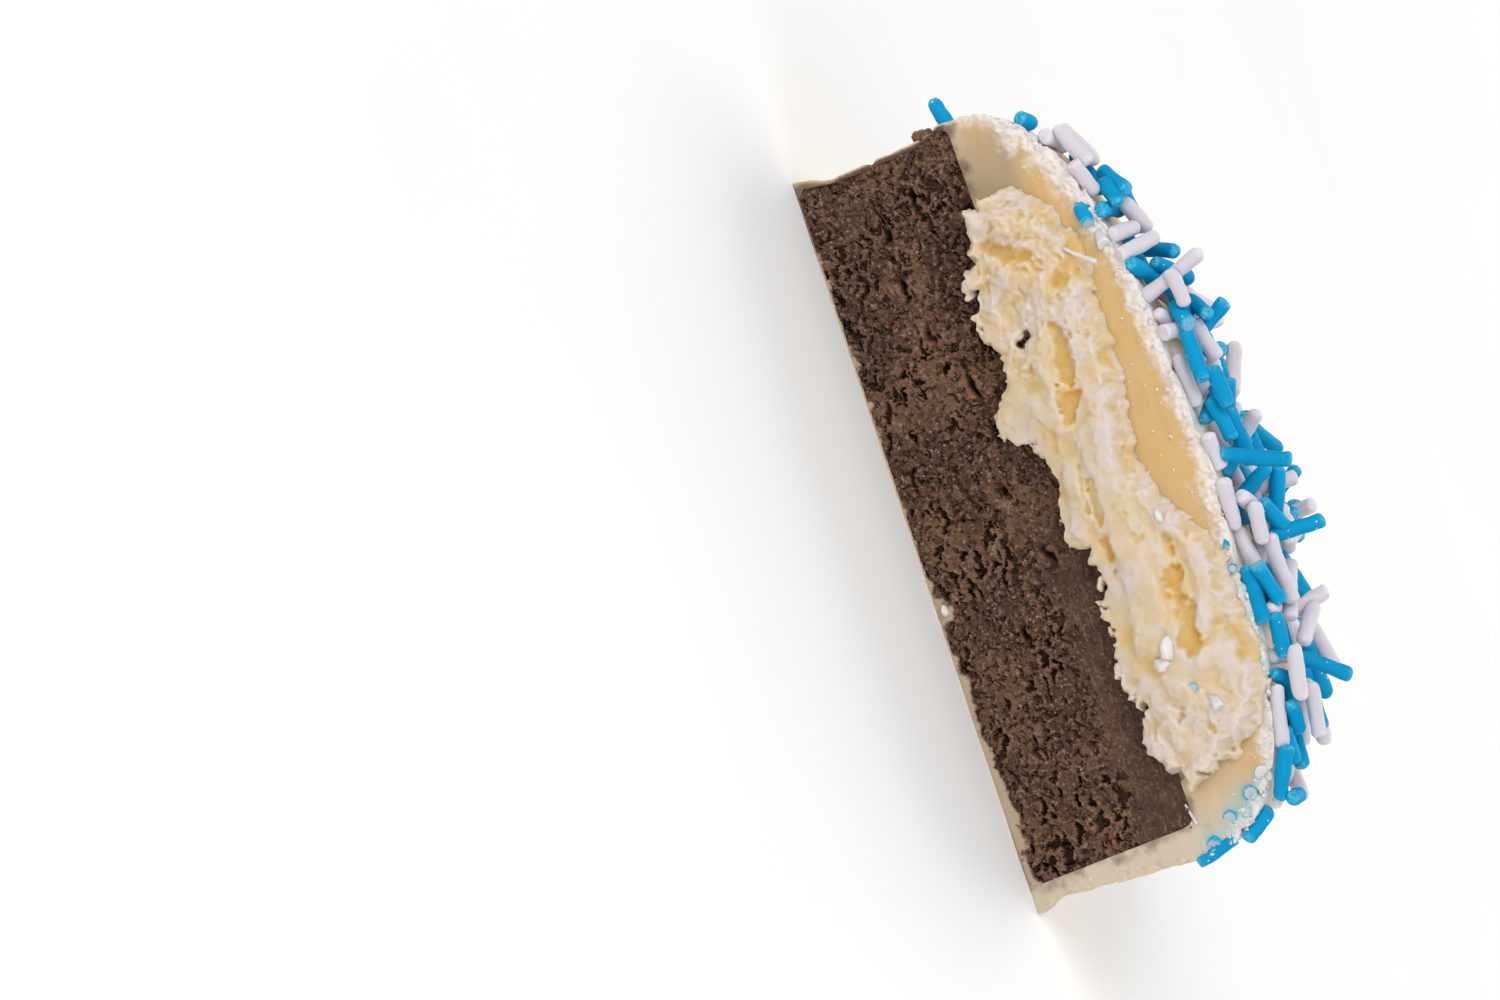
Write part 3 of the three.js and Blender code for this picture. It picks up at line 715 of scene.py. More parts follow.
def uneven_coat(points):
    """Moves points of a plain turned coat to the real one, whose foot spreads and whose crown leans to +X."""
    c = COAT
    x, y, z = np.array(points, float).T
    angle = np.arctan2(abs(y), x)
    out = np.hypot(x, y)
    share = np.minimum(1, out / (c["radius"] + c["belly"]))
    foot = np.where(z < c["foot_height"], np.maximum(0, out - c["radius"]) * (foot_width(angle) - 1), 0)
    swell = share * np.sin(angle) ** 2 * (0.35 * np.cos(3 * angle + 0.7) + 0.2 * np.cos(7 * angle))
    grow = 1 + (foot + swell) / np.maximum(out, 1)
    x, y = x * grow, y * grow
    x = x + drawn_in(x, y, z)
    crown = z > c["wall_top"]
    x = x + np.where(crown, c["lean"] * (1 - share**2), 0)
    z = z + np.where(crown, 0.28 * waves(x, y, 21, 3) * (1 - share**4), 0)
    return np.column_stack([x, y, z])


def coat_profile():
    """The (radius, height) points of the plain turned coat, from the middle of its base to its top."""
    c = COAT
    r, foot_top = c["radius"], c["foot_height"]
    foot = [(r + 0.85, 0), (r + 1.05, 0.15), (r + 1.19, 0.5), (r + 1.1, 0.85), (r + 0.88, 1.15)]
    foot += [(r + 0.55, 1.45), (r + 0.3, 1.75), (r + 0.08, 2.2), (r, foot_top)]
    low = [(r * share, 0) for share in (0, 0.5, 0.9)]
    lift = np.linspace(0, 1, 34)[1:-1]
    wall = [(r + c["belly"] * share**0.8, foot_top + (c["wall_top"] - foot_top) * share) for share in lift]
    crown = dome(r + c["belly"], c["wall_top"], c["top"], c["power"], 120)
    return low + foot + wall + [tuple(point) for point in crown]


def dome_point(angle, share):
    """A point of the dome by angle from +X and share of the radius."""
    c = COAT
    out = (c["radius"] + c["belly"]) * share
    z = c["wall_top"] + 1e-6  # so that the rim too counts as the dome
    z += (c["top"] - c["wall_top"]) * max(0, 1 - share ** c["power"]) ** (1 / c["power"])
    return uneven_coat([(out * math.cos(angle), out * math.sin(angle), z)])[0]


# The coat's outline on the cut
outer = np.array([(r, 0, z) for r, z in coat_profile()[3:]])
rim_line = uneven_coat(np.vstack([outer, (outer * (-1, 1, 1))[::-1]]))[:, (0, 2)]


def from_rim(x, z):
    """Distance of points of the cut plane from the coat's outline."""
    return from_line(x, z, rim_line)


def chalkiness(x, z, soft):
    """Where the coat crumbled under the knife: along its outer edge, most on the dome and at its -X end. It
    fades over `soft` mm to either side."""
    flat = on_cut(x, z)
    wide = (0.4 + 0.7 * smooth(15, 19, z) + 1.3 * bump(x, -24, 4.5) * smooth(15, 18, z)) * smooth(1, 3, z)
    wide = wide * (1 + 0.3 * grain(flat, 2.6, 101, 2)) + 0.4 * grain(flat, 0.6, 103, 3, 0.7)
    return smooth(soft, -soft, from_rim(x, z) - wide)


def steps(value, each):
    """Turns an even rise into steps, flat on top with steep sides."""
    level = np.floor(value / each)
    return each * (level + smooth(0, 0.35, value / each - level))


def coat_face(x, z):
    """Depth of the coat's broken edge behind the cut plane."""
    flat = on_cut(x, z)
    chalk = chalkiness(x, z, 0.5)
    chips = 0.3 * np.maximum(0, grain(flat, 1.2, 111, 2)) + 0.5 * steps(grain(flat, 0.5, 115, 2), 0.3)
    crumbly = 0.3 * chips + 0.1 * grain(flat, 0.27, 119, 2) - 0.05
    scooped = 0.16 * smooth(0.6, 2.8, from_rim(x, z)) * smooth(15, 19, z)
    smears = 0.04 * grain(on_cut(0.2 * x, z), 0.8, 121, 2) + 0.1 * waves(x, z, 9, 3)
    return CLEAN_CUT + np.maximum(-0.25, chalk * crumbly + (1 - chalk) * (scooped + smears))


def surface_of_coat(points):
    """The uneven coat with soft ripples all over and chips along the cut."""
    moved = uneven_coat(points)
    out = np.hypot(moved[:, 0], moved[:, 1])
    away = moved * (1, 1, 0) / np.maximum(out, 1)[:, None] * smooth(18, 30, out)[:, None]
    away[:, 2] = smooth(14, 21, moved[:, 2])
    ripples = 0.09 * grain(moved * (1, 1, 0.6), 5.5, 131, 3, 0.45) - 0.04
    chipped = 0.32 * np.maximum(0, grain(moved * (1, 0.4, 1), 0.9, 135, 3)) * smooth(3, 0.5, moved[:, 1])
    return moved + away * ((ripples - chipped) * smooth(0, 1.5, moved[:, 2]))[:, None]


coat = turned("chocolate_coat", coat_profile(), COAT["sides"], surface_of_coat)
inside = work(biscuit_body(-0.02), dollop(0.02), "UNION")
work(coat, inside, "DIFFERENCE")
work(coat, behind_cut(coat_face, COAT_STEP, (-33.5, 33.5), (-0.5, 27)), "INTERSECT")
coat.data.shade_smooth()


def white_chocolate():
    """White chocolate: satin ivory outside, golden and waxy where it snapped, chalky where it crumbled."""
    material, place = new_material("white_chocolate")

    # Ivory skin with a faint bloom of bubbles in places
    cloud = add(material, "TexNoise", {"Vector": place, "Scale": 0.12, "Detail": 3, "Roughness": 0.55})
    skin = add(
        material, "Mix", {"Factor": cloud.outputs["Fac"], "A": linear("#e1caa8"), "B": linear("#d4bb98")},
        data_type="RGBA",
    )
    bubbles = add(material, "TexNoise", {"Vector": place, "Scale": 1.1, "Detail": 4, "Roughness": 0.75})
    areas = add(material, "TexNoise", {"Vector": place, "Scale": 0.07, "Detail": 1})
    bubble = add(material, "MapRange", {0: bubbles.outputs["Fac"], 1: 0.55, 2: 0.66, 4: 0.6})
    area = add(material, "MapRange", {0: areas.outputs["Fac"], 1: 0.48, 2: 0.6})
    bloom = add(material, "Math", {0: bubble.outputs[0], 1: area.outputs[0]}, operation="MULTIPLY")
    bloomed = add(
        material, "Mix", {"Factor": bloom.outputs[0], "A": skin.outputs["Result"], "B": linear("#eedfc6")},
        data_type="RGBA",
    )
    colour = bloomed.outputs["Result"]

    # What the cut laid bare or left on it, with painted shade at the ends and along the base, each over those
    # before it
    band = add(material, "TexNoise", {"Vector": place, "Scale": 0.5, "Detail": 3, "Roughness": 0.6})
    inner = add(
        material, "Mix", {"Factor": band.outputs["Fac"], "A": linear("#d4ad6a"), "B": linear("#d6b684")},
        data_type="RGBA",
    )
    powder = add(material, "TexNoise", {"Vector": place, "Scale": 1.6, "Detail": 4, "Roughness": 0.7})
    chalk = add(
        material, "Mix", {"Factor": powder.outputs["Fac"], "A": linear("#e0d4c6"), "B": linear("#f3eef0")},
        data_type="RGBA",
    )
    layers = (
        ("gold", inner.outputs["Result"], 1),
        # painted shade at the ends and along the base
        ("painted_shade", linear("#af9a7a"), 1),
        ("chalk", chalk.outputs["Result"], 1),
        ("soil", linear("#5e463a"), 1),
        ("stain", linear("#8fc9cf"), 0.75),
    )
    for name, over, most in layers:
        share = add(material, "Attribute", attribute_name=name)
        amount = add(material, "Math", {0: share.outputs["Fac"], 1: most}, operation="MULTIPLY")
        mixed = add(material, "Mix", {"Factor": amount.outputs[0], "A": colour, "B": over}, data_type="RGBA")
        colour = mixed.outputs["Result"]

    speck = specks(material, place, 1.7, 0.8, 0.16)
    faint = add(material, "Math", {0: speck, 1: 0.5}, operation="MULTIPLY")
    specked = add(
        material, "Mix", {"Factor": faint.outputs[0], "A": colour, "B": linear("#eee6dc")},
        data_type="RGBA",
    )
    rough = add(material, "Attribute", attribute_name="chalk")
    dull = add(material, "MapRange", {0: rough.outputs["Fac"], 3: 0.4, 4: 0.75})
    fine = add(material, "TexNoise", {"Vector": place, "Scale": 3.2, "Detail": 3, "Roughness": 0.6})
    grainy = add(material, "Bump", {"Strength": 0.3, "Distance": 0.00005, "Height": fine.outputs["Fac"]})
    surface = add(
        material,
        "BsdfPrincipled",
        {
            "Base Color": specked.outputs["Result"],
            "Roughness": dull.outputs[0],
            "Subsurface Weight": 0.35,
            "Subsurface Scale": 0.001,
            "Normal": grainy.outputs[0],
        },
    )
    surface.inputs["Subsurface Radius"].default_value = (1, 0.75, 0.45)
    surface.inputs["Specular IOR Level"].default_value = 0.4
    add(material, "OutputMaterial", {"Surface": surface.outputs[0]})
    return material


x, y, z = places(coat).T
cut = smooth(1.4, 0.8, y)
from_edge = from_rim(x, z)
patchy = grain(on_cut(x, z), 1.1, 141, 3)
mark(coat, "gold", cut * smooth(0.5, 1.6, from_edge) * smooth(14, 16, z))

# Painted shade, darker towards both ends and along the base, and chalky where it crumbled
end = bump(x, -26, 5) * smooth(19.5, 17.5, z)
far_end = bump(x, 30, 5) * smooth(23, 18, z)
mark(coat, "painted_shade", cut * np.maximum(np.maximum(end, 0.6 * far_end), 0.7 * smooth(2, 1, z)))
dusty = smooth(3.2, 0.8, y + 0.7 * patchy) * chalkiness(x, z, 0.9) * smooth(12, 15, z)
mark(coat, "chalk", np.maximum(dusty, 0.3 * cut * far_end))

# Brown where the knife dragged crumb over its wall at the -X end and over its join with the biscuit
dragged = smooth(-28.5, -29.5, x) * smooth(3.4, 4.4, z + patchy) * smooth(14.2, 13.4, z)
dragged = dragged * smooth(0.1, 0.28, from_edge)
from_biscuit = np.maximum(z - BISCUIT["top"] - BISCUIT["climb"] * x, x - 29.6 + 0.05 * z)
smudge = smooth(1, -0.3, from_biscuit + 0.5 * patchy) * (0.6 * smooth(23, 26, x) + 0.8 * smooth(-24, -27, x))
mark(coat, "soil", cut * np.maximum(dragged, smudge * smooth(0.1, 0.5, from_edge)))

# Blue where sprinkles were snapped and their dye ran
wet = 0.6 * smooth(0.1, 0.9, patchy) * smooth(8, 12, x) * smooth(2.4, 0.6, from_edge) * smooth(16, 19, z)
for near_x, near_z in WET_SPOTS:
    wet = wet + 0.75 * bump(np.hypot(x - near_x, z - near_z), 0, 1.2) * smooth(-1, 0.4, patchy)
mark(coat, "stain", cut * np.minimum(wet, 1))

coat_material = white_chocolate()
dress(coat, coat_material, "coat", "white_chocolate_coat")

# ---- Sprinkles -----------------------------------------------------------------------------------------
# Sugar strands, extruded and cut short, that fell on the coat while it was wet. Half are blue and half white.
# The knife broke those that lay across its way.

SPRINKLE = dict(  # sunk and spacing are in radii, and standing is the share that stand up
    radius=0.66, shortest=3.2, longest=6.4, count=165, sunk=0.42, spacing=1.66, standing=0.07, highest=2.2,
    past_cut=0.5, stub=1.6, seed=20771,
)  # fmt: skip


def dome_frame(angle, share):
    """A point of the dome with the directions down it, round it and straight out of it."""
    step = 0.01
    point = dome_point(angle, share)
    down = point - dome_point(angle, share - step)
    down /= np.linalg.norm(down)
    normal = np.cross(down, dome_point(angle + step, share) - point)
    normal /= np.linalg.norm(normal)
    return point, down, np.cross(normal, down), normal


def clashes(middle, along, half, near):
    """Whether a rod comes too close to any of those near it."""
    if not near:
        return False
    middles, alongs, halves = (np.array(values) for values in zip(*near))
    between = middle - middles
    turn = alongs @ along
    da, db = between @ along, np.einsum("ij,ij->i", alongs, between)
    spread = 1 - turn * turn
    nearest = np.where(spread > 1e-6, np.clip((turn * db - da) / np.maximum(spread, 1e-6), -half, half), 0)
    on_b = np.clip(db + nearest * turn, -halves, halves)
    on_a = np.clip(on_b * turn - da, -half, half)
    gaps = np.linalg.norm(between + np.outer(on_a, along) - alongs * on_b[:, None], axis=1)
    return bool((gaps < SPRINKLE["spacing"] * SPRINKLE["radius"]).any())


def holds(angle, share):
    """The chance that a sprinkle stays where it fell: less on the rim and on a bare patch at the back."""
    bare = 0.85 * bump(angle, 2.55, 0.5) * smooth(0.45, 0.85, share)
    return 1.12 - 0.95 * share**5 - bare + 0.2 * bump(angle, 0, 0.6)


def settle(spot, heading, length, tilt, settled):
    """One sprinkle at one tilt, raised in small steps until it clears those already down."""
    s = SPRINKLE
    point, down, sideways, normal = spot
    half = length / 2 - s["radius"]
    along = down * (math.cos(heading) * math.cos(tilt)) + sideways * (math.sin(heading) * math.cos(tilt))
    along = along + normal * math.sin(tilt)
    ground = s["radius"] * (1 - s["sunk"]) + 0.92 * abs(math.sin(tilt)) * half
    near = [rod for rod in settled if np.linalg.norm(rod[0] - point) < half + rod[2] + 4]
    lift = 0
    while lift <= s["highest"] and clashes(point + normal * (ground + lift), along, half, near):
        lift += 0.2
    if lift > 0:
        for back in (0.1, 0.05, 0.025):
            if not clashes(point + normal * (ground + lift - back), along, half, near):
                lift -= back
    return ground + lift, lift <= s["highest"], (point + normal * (ground + lift), along, half)


def trimmed(rod):
    """Shortens a sprinkle that reaches through the cut to the piece that the knife left behind it."""
    middle, along, half = rod
    kept = max(0, middle[1] + SPRINKLE["past_cut"] - SPRINKLE["radius"])
    cut_off = max(0, half - kept / max(abs(along[1]), 1e-6))
    towards = math.copysign(1, along[1])
    return middle + along * (towards * cut_off / 2), along, half - cut_off / 2, -towards if cut_off else 0


# Those that show along the cut, from -X to +X: x, y, heading from +X and tilt in degrees, length, colour
ALONG_CUT = [
    (-31.8, 1.4, 180, 68, 3.2, "b"), (-29.3, 1.4, 60, 0, 2.2, "b"), (-27.2, 2.4, 80, 0, 5, "w"),
    (-25.8, 0.8, 0, 0, 4.2, "w"), (-25.9, 3.4, 10, 0, 4.4, "w"), (-23.3, 0.6, 25, 0, 3.4, "w"),
    (-24.2, 5, -15, 0, 4.6, "b"), (-21.4, 1.1, -30, 10, 3.2, "b"), (-20.3, 2.2, 88, 8, 5, "b"),
    (-20.1, 4.4, 0, 0, 4.8, "b"), (-19.2, 3.1, 15, 14, 3.6, "w"), (-18.2, 1, 90, 35, 3.4, "w"),
    (-16.6, 1, 95, 52, 4.2, "w"), (-16.2, 4.6, 5, 0, 4.8, "b"), (-14.6, 1.6, 60, 12, 4.4, "b"),
    (-13.2, 0.9, 160, 78, 6.4, "w"), (-12.1, 0.5, 0, 0, 3.4, "w"), (-11.7, 3, 5, 0, 4.6, "b"),
    (-9.9, 2, 45, 15, 4, "w"), (-10.4, 5.2, 100, 0, 4.4, "w"), (-9.2, 0.8, 85, 30, 3.4, "w"),
    (-9, 3.4, 165, 62, 4.6, "b"), (-7.8, 2.4, 8, 10, 3.8, "w"), (-6.8, 0.4, -4, 0, 4.8, "b"),
    (-5.2, 1.5, 3, 0, 4.6, "w"), (-4.8, 3.6, 150, 38, 4.4, "w"), (-3.6, 0.7, 0, 0, 3.6, "b"),
    (-3, 3, 140, 30, 4.4, "b"), (-1.2, 1.6, -3, 6, 4, "b"), (0.6, 2.6, 4, 0, 5, "b"),
    (1, 0.5, 15, 0, 3.2, "w"), (1.8, 4.4, 130, 35, 4.6, "b"), (2.4, 0.9, 20, 66, 5.8, "b"),
    (4.6, 3.4, 140, 42, 5.4, "b"), (5.4, 0.5, 8, 0, 4.4, "w"), (5.8, 2.4, 60, 10, 4, "w"),
    (7.4, 1.3, 2, 0, 3.6, "w"), (7.2, 3.6, 35, 20, 4.2, "b"), (8.4, 4.4, 110, 74, 5, "b"),
    (9.2, 1.9, -6, 12, 3.8, "w"), (9.8, 5, 135, 28, 4.4, "w"), (11.6, 2.4, 9, 0, 6, "w"),
    (13, 0.4, 2, 0, 5, "b"), (12.6, 5.2, 70, 30, 4.2, "b"), (14.4, 3.2, 92, 0, 5.2, "w"),
    (14.8, 6, 120, 66, 4.4, "w"), (16.6, 1, 0, 0, 3.8, "b"), (16.4, 4.2, 130, 16, 4.6, "w"),
    (18.2, 3, 85, 22, 4, "w"), (19.4, 4, 40, 55, 5, "b"), (19.6, 0.6, -3, 0, 4.6, "w"),
    (20.2, 2.4, 60, 30, 4.2, "b"), (22.8, 0.7, 4, 0, 5.2, "w"), (22.4, 2.8, 0, 8, 4.6, "w"),
    (25, 2.2, 20, 12, 3.4, "b"), (26.9, 0.5, 0, 0, 4.6, "b"), (28.2, 2.2, 90, 0, 4.8, "b"),
    (29.8, 2.4, 95, 0, 4.6, "b"), (30.4, 0.9, -20, 0, 3.4, "b"),
]  # fmt: skip


def laid(x, y, heading, tilt, length, settled):
    """One sprinkle of the row along the cut, whose place is given as seen from above. Its share of the radius
    is found step by step, because the crown's lean depends on it."""
    share = 0.5
    for _ in range(12):
        across = x - COAT["lean"] * (1 - share * share)
        share = max(0.02, min(0.9998, math.hypot(across, y) / (COAT["radius"] + COAT["belly"])))
    angle = math.atan2(y, across)
    spot = dome_frame(angle, share)
    return trimmed(settle(spot, math.radians(heading) - angle, length, math.radians(tilt), settled)[2])


def scattered():
    """The sprinkles, each as its middle, direction, half length less its radius, and which end is cut."""
    s = SPRINKLE
    state, settled, ends = s["seed"], [], []

    def random():
        """The next of a seeded run of numbers between 0 and 1."""
        nonlocal state
        state = state * 48271 % 2147483647
        return state / 2147483647

    for *place, _ in ALONG_CUT:
        middle, along, half, end = laid(*place, settled)
        settled.append((middle, along, half))
        ends.append(end)
    while len(settled) < s["count"]:
        angle, share, keep = math.pi * random(), 0.985 * random() ** 0.5, random()
        heading = math.pi * random()
        length = s["shortest"] + (s["longest"] - s["shortest"]) * random()
        upright = random()
        if keep > holds(angle, share):
            continue
        spot = dome_frame(angle, share)
        tilts = [0.6 + 8 * upright] if upright < s["standing"] else [0, 0.16, -0.16, 0.34, -0.34]
        trials = [settle(spot, heading, length, tilt, settled) for tilt in tilts]
        trials = [trial for trial in trials if trial[1]]
        if not trials:
            continue
        middle, along, half, end = trimmed(min(trials, key=lambda trial: trial[0])[2])
        if 2 * (half + s["radius"]) > s["stub"]:
            settled.append((middle, along, half))
            ends.append(end)
    return [(*rod, end) for rod, end in zip(settled, ends)]


# Where the outermost of those along the cut slid down the wall or sank in, by their place in the row
SLID = {0: (0.45, 0, -1.4), len(ALONG_CUT) - 2: (-0.9, 0, -0.5), len(ALONG_CUT) - 1: (-1.1, 0, -0.6)}

# Rings of an end, as how far each lies from the tip and its share of the full radius
ROUNDED_END = np.array([(0, 0.24), (0.05, 0.5), (0.14, 0.72), (0.28, 0.88), (0.45, 0.96), (0.65, 1)])
SNAPPED_END = np.array([(0.05, 0.4), (0.02, 0.78), (0, 0.9), (0.04, 0.98), (0.3, 1), (0.6, 1)])
STRAND_RADIUS = 0.65
ROUND = 14  # points round each strand


def closed_hoops(rings, sides):
    """The faces between one ring of points and the next, with one more at each end."""
    ends = np.arange(sides)[::-1], (rings - 1) * sides + np.arange(sides)
    return hoops(rings, sides) + [end.tolist() for end in ends]


def joined(name, parts):
    """One piece from the points and faces of many."""
    starts = np.cumsum([0] + [len(points) for points, _ in parts[:-1]])
    faces = [[int(start) + i for i in face] for start, (_, own) in zip(starts, parts) for face in own]
    return piece_of(name, np.vstack([points for points, _ in parts]), faces)


def strand(rod, dice, radius):
    """One sprinkle, a little bent and uneven: its points, its faces, how near its tips each point is, and the
    core that the knife laid bare."""
    middle, along, half, cut_end = rod  # which end is cut: -1 or 1, 2 for both, 0 for neither
    reach = half + radius
    side = np.cross(along, (0.3, 0.5, 0.8))
    side /= np.linalg.norm(side)
    other = np.cross(along, side)
    short = min(1, reach / 0.8)
    ends = [
        (SNAPPED_END if cut_end in (end, 2) else ROUNDED_END) * (short * dice.uniform(0.5, 1.2), 1)
        for end in (-1, 1)
    ]
    limits = [reach - ends[k][-1, 0] for k in (0, 1)]
    straight = np.linspace(-limits[0], limits[1], 10)[1:-1]
    place = np.concatenate([ends[0][:, 0] - reach, straight, reach - ends[1][::-1, 0]])
    width = np.concatenate([ends[0][:, 1], np.ones(len(straight)), ends[1][::-1, 1]])
    width = width * radius * (1 + 0.05 * np.sin(place * dice.uniform(0.8, 1.6) + dice.uniform(0, 6)))
    lean, bend = dice.uniform(0, 2 * math.pi), dice.uniform(0, 0.06) * reach
    bow = bend * (1 - (place / reach) ** 2)
    slant = np.where(place > 0, *dice.uniform(-0.2, 0.2, 2)) * smooth(0.7, 0, reach - abs(place))
    turn = np.arange(ROUND) * 2 * math.pi / ROUND
    centre = middle + np.outer(place, along) + np.outer(bow, side * math.cos(lean) + other * math.sin(lean))
    spoke = np.outer(np.cos(turn), side) + np.outer(np.sin(turn), other)
    points = centre[:, None] + width[:, None, None] * spoke
    points = (points + (slant * width)[:, None, None] * np.cos(turn)[:, None] * along).reshape(-1, 3)
    points += 0.045 * (grain(points, 0.8, 151, 2)[:, None]) * np.tile(spoke, (len(place), 1))
    tip = np.repeat(smooth(0.55, 0.05, reach - abs(place)), ROUND)
    bare = np.zeros(len(place))
    laid_bare = 1 if cut_end == 2 else 0.35  # scraps show their core, cut sprinkles only a little of it
    bare[:2], bare[-2:] = laid_bare * (cut_end in (-1, 2)), laid_bare * (cut_end in (1, 2))
    return points, closed_hoops(len(place), ROUND), tip, np.repeat(bare, ROUND)


def sugar(name, body, shade, tip, core, scatter):
    """Pressed sugar, matt and faintly powdery: paler and grainy at its tips, undyed in its snapped core."""
    material, place = new_material(name)
    own = add(material, "Attribute", attribute_name="own")
    patchy = add(material, "TexNoise", {"Vector": place, "Scale": 0.9, "Detail": 3})
    either = add(material, "Math", {0: own.outputs["Fac"], 1: patchy.outputs["Fac"]}, operation="MULTIPLY")
    tone = add(
        material, "Mix", {"Factor": either.outputs[0], "A": linear(body), "B": linear(shade)},
        data_type="RGBA",
    )
    ends = add(material, "Attribute", attribute_name="tip")
    fine = add(material, "TexNoise", {"Vector": place, "Scale": 3.5, "Detail": 3})
    dusty = add(material, "MapRange", {0: fine.outputs["Fac"], 1: 0.35, 2: 0.7})
    pale = add(material, "Math", {0: ends.outputs["Fac"], 1: dusty.outputs[0]}, operation="MULTIPLY")
    colour = add(
        material, "Mix", {"Factor": pale.outputs[0], "A": tone.outputs["Result"], "B": linear(tip)},
        data_type="RGBA",
    )
    bare = add(material, "Attribute", attribute_name="bare")
    inside = add(
        material, "Mix", {"Factor": bare.outputs["Fac"], "A": colour.outputs["Result"], "B": linear(core)},
        data_type="RGBA",
    )
    speck = specks(material, place, 1.9, 0.86, 0.15)
    specked = add(
        material, "Mix", {"Factor": speck, "A": inside.outputs["Result"], "B": linear("#cfe0e6")},
        data_type="RGBA",
    )
    grainy = add(material, "Bump", {"Strength": 0.35, "Distance": 0.00006, "Height": fine.outputs["Fac"]})
    surface = add(
        material,
        "BsdfPrincipled",
        {
            "Base Color": specked.outputs["Result"],
            "Roughness": 0.58,
            "Subsurface Weight": scatter,
            "Subsurface Scale": 0.0008,
            "Normal": grainy.outputs[0],
        },
    )
    surface.inputs["Subsurface Radius"].default_value = (1, 0.95, 0.9)
    surface.inputs["Specular IOR Level"].default_value = 0.1
    add(material, "OutputMaterial", {"Surface": surface.outputs[0]})
    return material


rods = scattered()
for which, slide in SLID.items():
    rods[which] = (rods[which][0] + slide, *rods[which][1:])
dice = np.random.default_rng(7)
blue = [colour == "b" for *_, colour in ALONG_CUT]
blue += list(dice.random(len(rods) - len(blue)) < 0.5)
full = [STRAND_RADIUS] * len(rods)

# Pieces of sprinkles that the knife left on the cut: x, y, z, direction, length, radius, colour
FRAGMENTS = [
    (18.5, -2.1, 18.8, (0.1, -1, 0.1), 0.7, 0.42, "b"),
    (-23.9, -0.5, 17.5, (0.4, -0.2, -0.9), 1.3, 0.16, "b"),
    (-20.5, -0.1, 22.4, (0.9, -0.5, 0.2), 1.9, 0.6, "b"),
    (27.9, 0.6, 19.9, (0.2, -1, 0.2), 1.3, 0.6, "b"),
    (29.3, 0.6, 17.8, (0.1, -1, -0.1), 1.3, 0.64, "b"),
    (30.6, 0.6, 16, (0.6, -0.8, -0.3), 1.6, 0.6, "b"),
    (26.6, 0.3, 21.3, (0.3, -1, 0.3), 1.0, 0.55, "w"),
    (8.3, 0.2, 24.7, (0.9, -0.6, 0), 1.1, 0.3, "b"),
    (10.4, 0, 24.6, (0.2, -1, 0.1), 0.8, 0.3, "b"),
    (-18.3, 0.1, 23.1, (0.8, -0.6, 0.2), 1.6, 0.55, "w"),
    (20.2, -2, 20.2, (0.8, -0.5, 0.3), 1.5, 0.5, "w"),
    (-17.5, -1.3, 21.2, (0.66, -0.05, 0.75), 3.2, 0.17, "w"),
    (28.1, 0, 14.8, (0.97, 0, 0.22), 1.9, 0.12, "w"),
    (31.5, 0.4, 15.8, (-0.27, 0, 1), 3.6, 0.55, "b"),
]
for x, y, z, way, length, radius, colour in FRAGMENTS:
    rods.append((np.array([x, y, z]), np.array(Vector(way).normalized()), length / 2 - radius, 2))
    blue.append(colour == "b")
    full.append(radius)
for name, kind, material in (
    ("blue_sprinkles", True, sugar("blue_sugar", "#009bcd", "#0085ba", "#5fc3dc", "#b4c3cc", 0.15)),
    ("white_sprinkles", False, sugar("white_sugar", "#d6d1d8", "#cbc6d0", "#e4e0e4", "#d8d4d8", 0.7)),
):
    made = [strand(rod, dice, radius) for rod, is_blue, radius in zip(rods, blue, full) if is_blue == kind]
    strands = joined(name, [parts[:2] for parts in made])
    strands.data.shade_smooth()
    mark(strands, "tip", np.concatenate([tip for *_, tip, _ in made]))
    mark(strands, "bare", np.concatenate([bare for *_, bare in made]))
    mark(strands, "own", np.concatenate([np.full(len(points), dice.random()) for points, *_ in made]))
    dress(strands, material, "coat", "white_chocolate_coat")

# ---- Crumbs --------------------------------------------------------------------------------------------
# Bits that broke off under the knife and stayed where they fell: white chocolate along the crumbled edge and
# on the cream, and biscuit along the cream's ragged side, in its gap and at one corner of the biscuit.

RIM_CRUMBS = 520  # white ones along the coat's crumbled edge
ON_BAND = [  # x and z of white ones on the golden band inside it
    (-11.6, 22.6), (-9.4, 23.3), (-7.8, 22.1), (-5.2, 23.4), (-2.1, 22), (-1.2, 23.2), (1.4, 22.6),
    (3.6, 23.4),
]  # fmt: skip
CHIPS = [  # x, y, z and size of the largest white ones
    (6, -0.1, 0.75, 1), (4.6, -2, 20.6, 1.2), (15, -1.8, 17.8, 2.4), (16, -1.8, 17.1, 1.8),
]  # fmt: skip
EDGE_CRUMBS = 110  # brown ones along the cream's ragged side
CORNER_CRUMBS, CORNER = 16, (-31.1, 0.9, 11.6)  # brown ones and where they lie: by the biscuit's corner
GAP_CRUMBS, GAP_MIDDLE = 24, (-12.5, 0.45, 14.6)  # and in the gap torn through the cream


def lumps(name, spots, sizes, dice, flat):
    """Broken crumbs, each an uneven lump of its own shape and turn, `flat` times as thick as it is long."""
    rings, sides = 5, 7
    across, around = np.meshgrid(
        np.linspace(0.35, math.pi - 0.35, rings), np.arange(sides) * 2 * math.pi / sides, indexing="ij"
    )
    ball = [np.sin(across) * np.cos(around), np.sin(across) * np.sin(around), np.cos(across)]
    ball = np.stack(ball, axis=-1).reshape(-1, 3)
    parts = []
    for spot, size in zip(spots, sizes):
        lump = ball * dice.uniform(0.7, 1.25, (rings * sides, 1)) * (1, dice.uniform(0.6, 1), flat)
        spin = Matrix.Rotation(dice.uniform(0, 6.3), 3, Vector(dice.normal(size=3)))
        parts.append((spot + lump @ np.array(spin) * size / 2, closed_hoops(rings, sides)))
    return joined(name, parts)


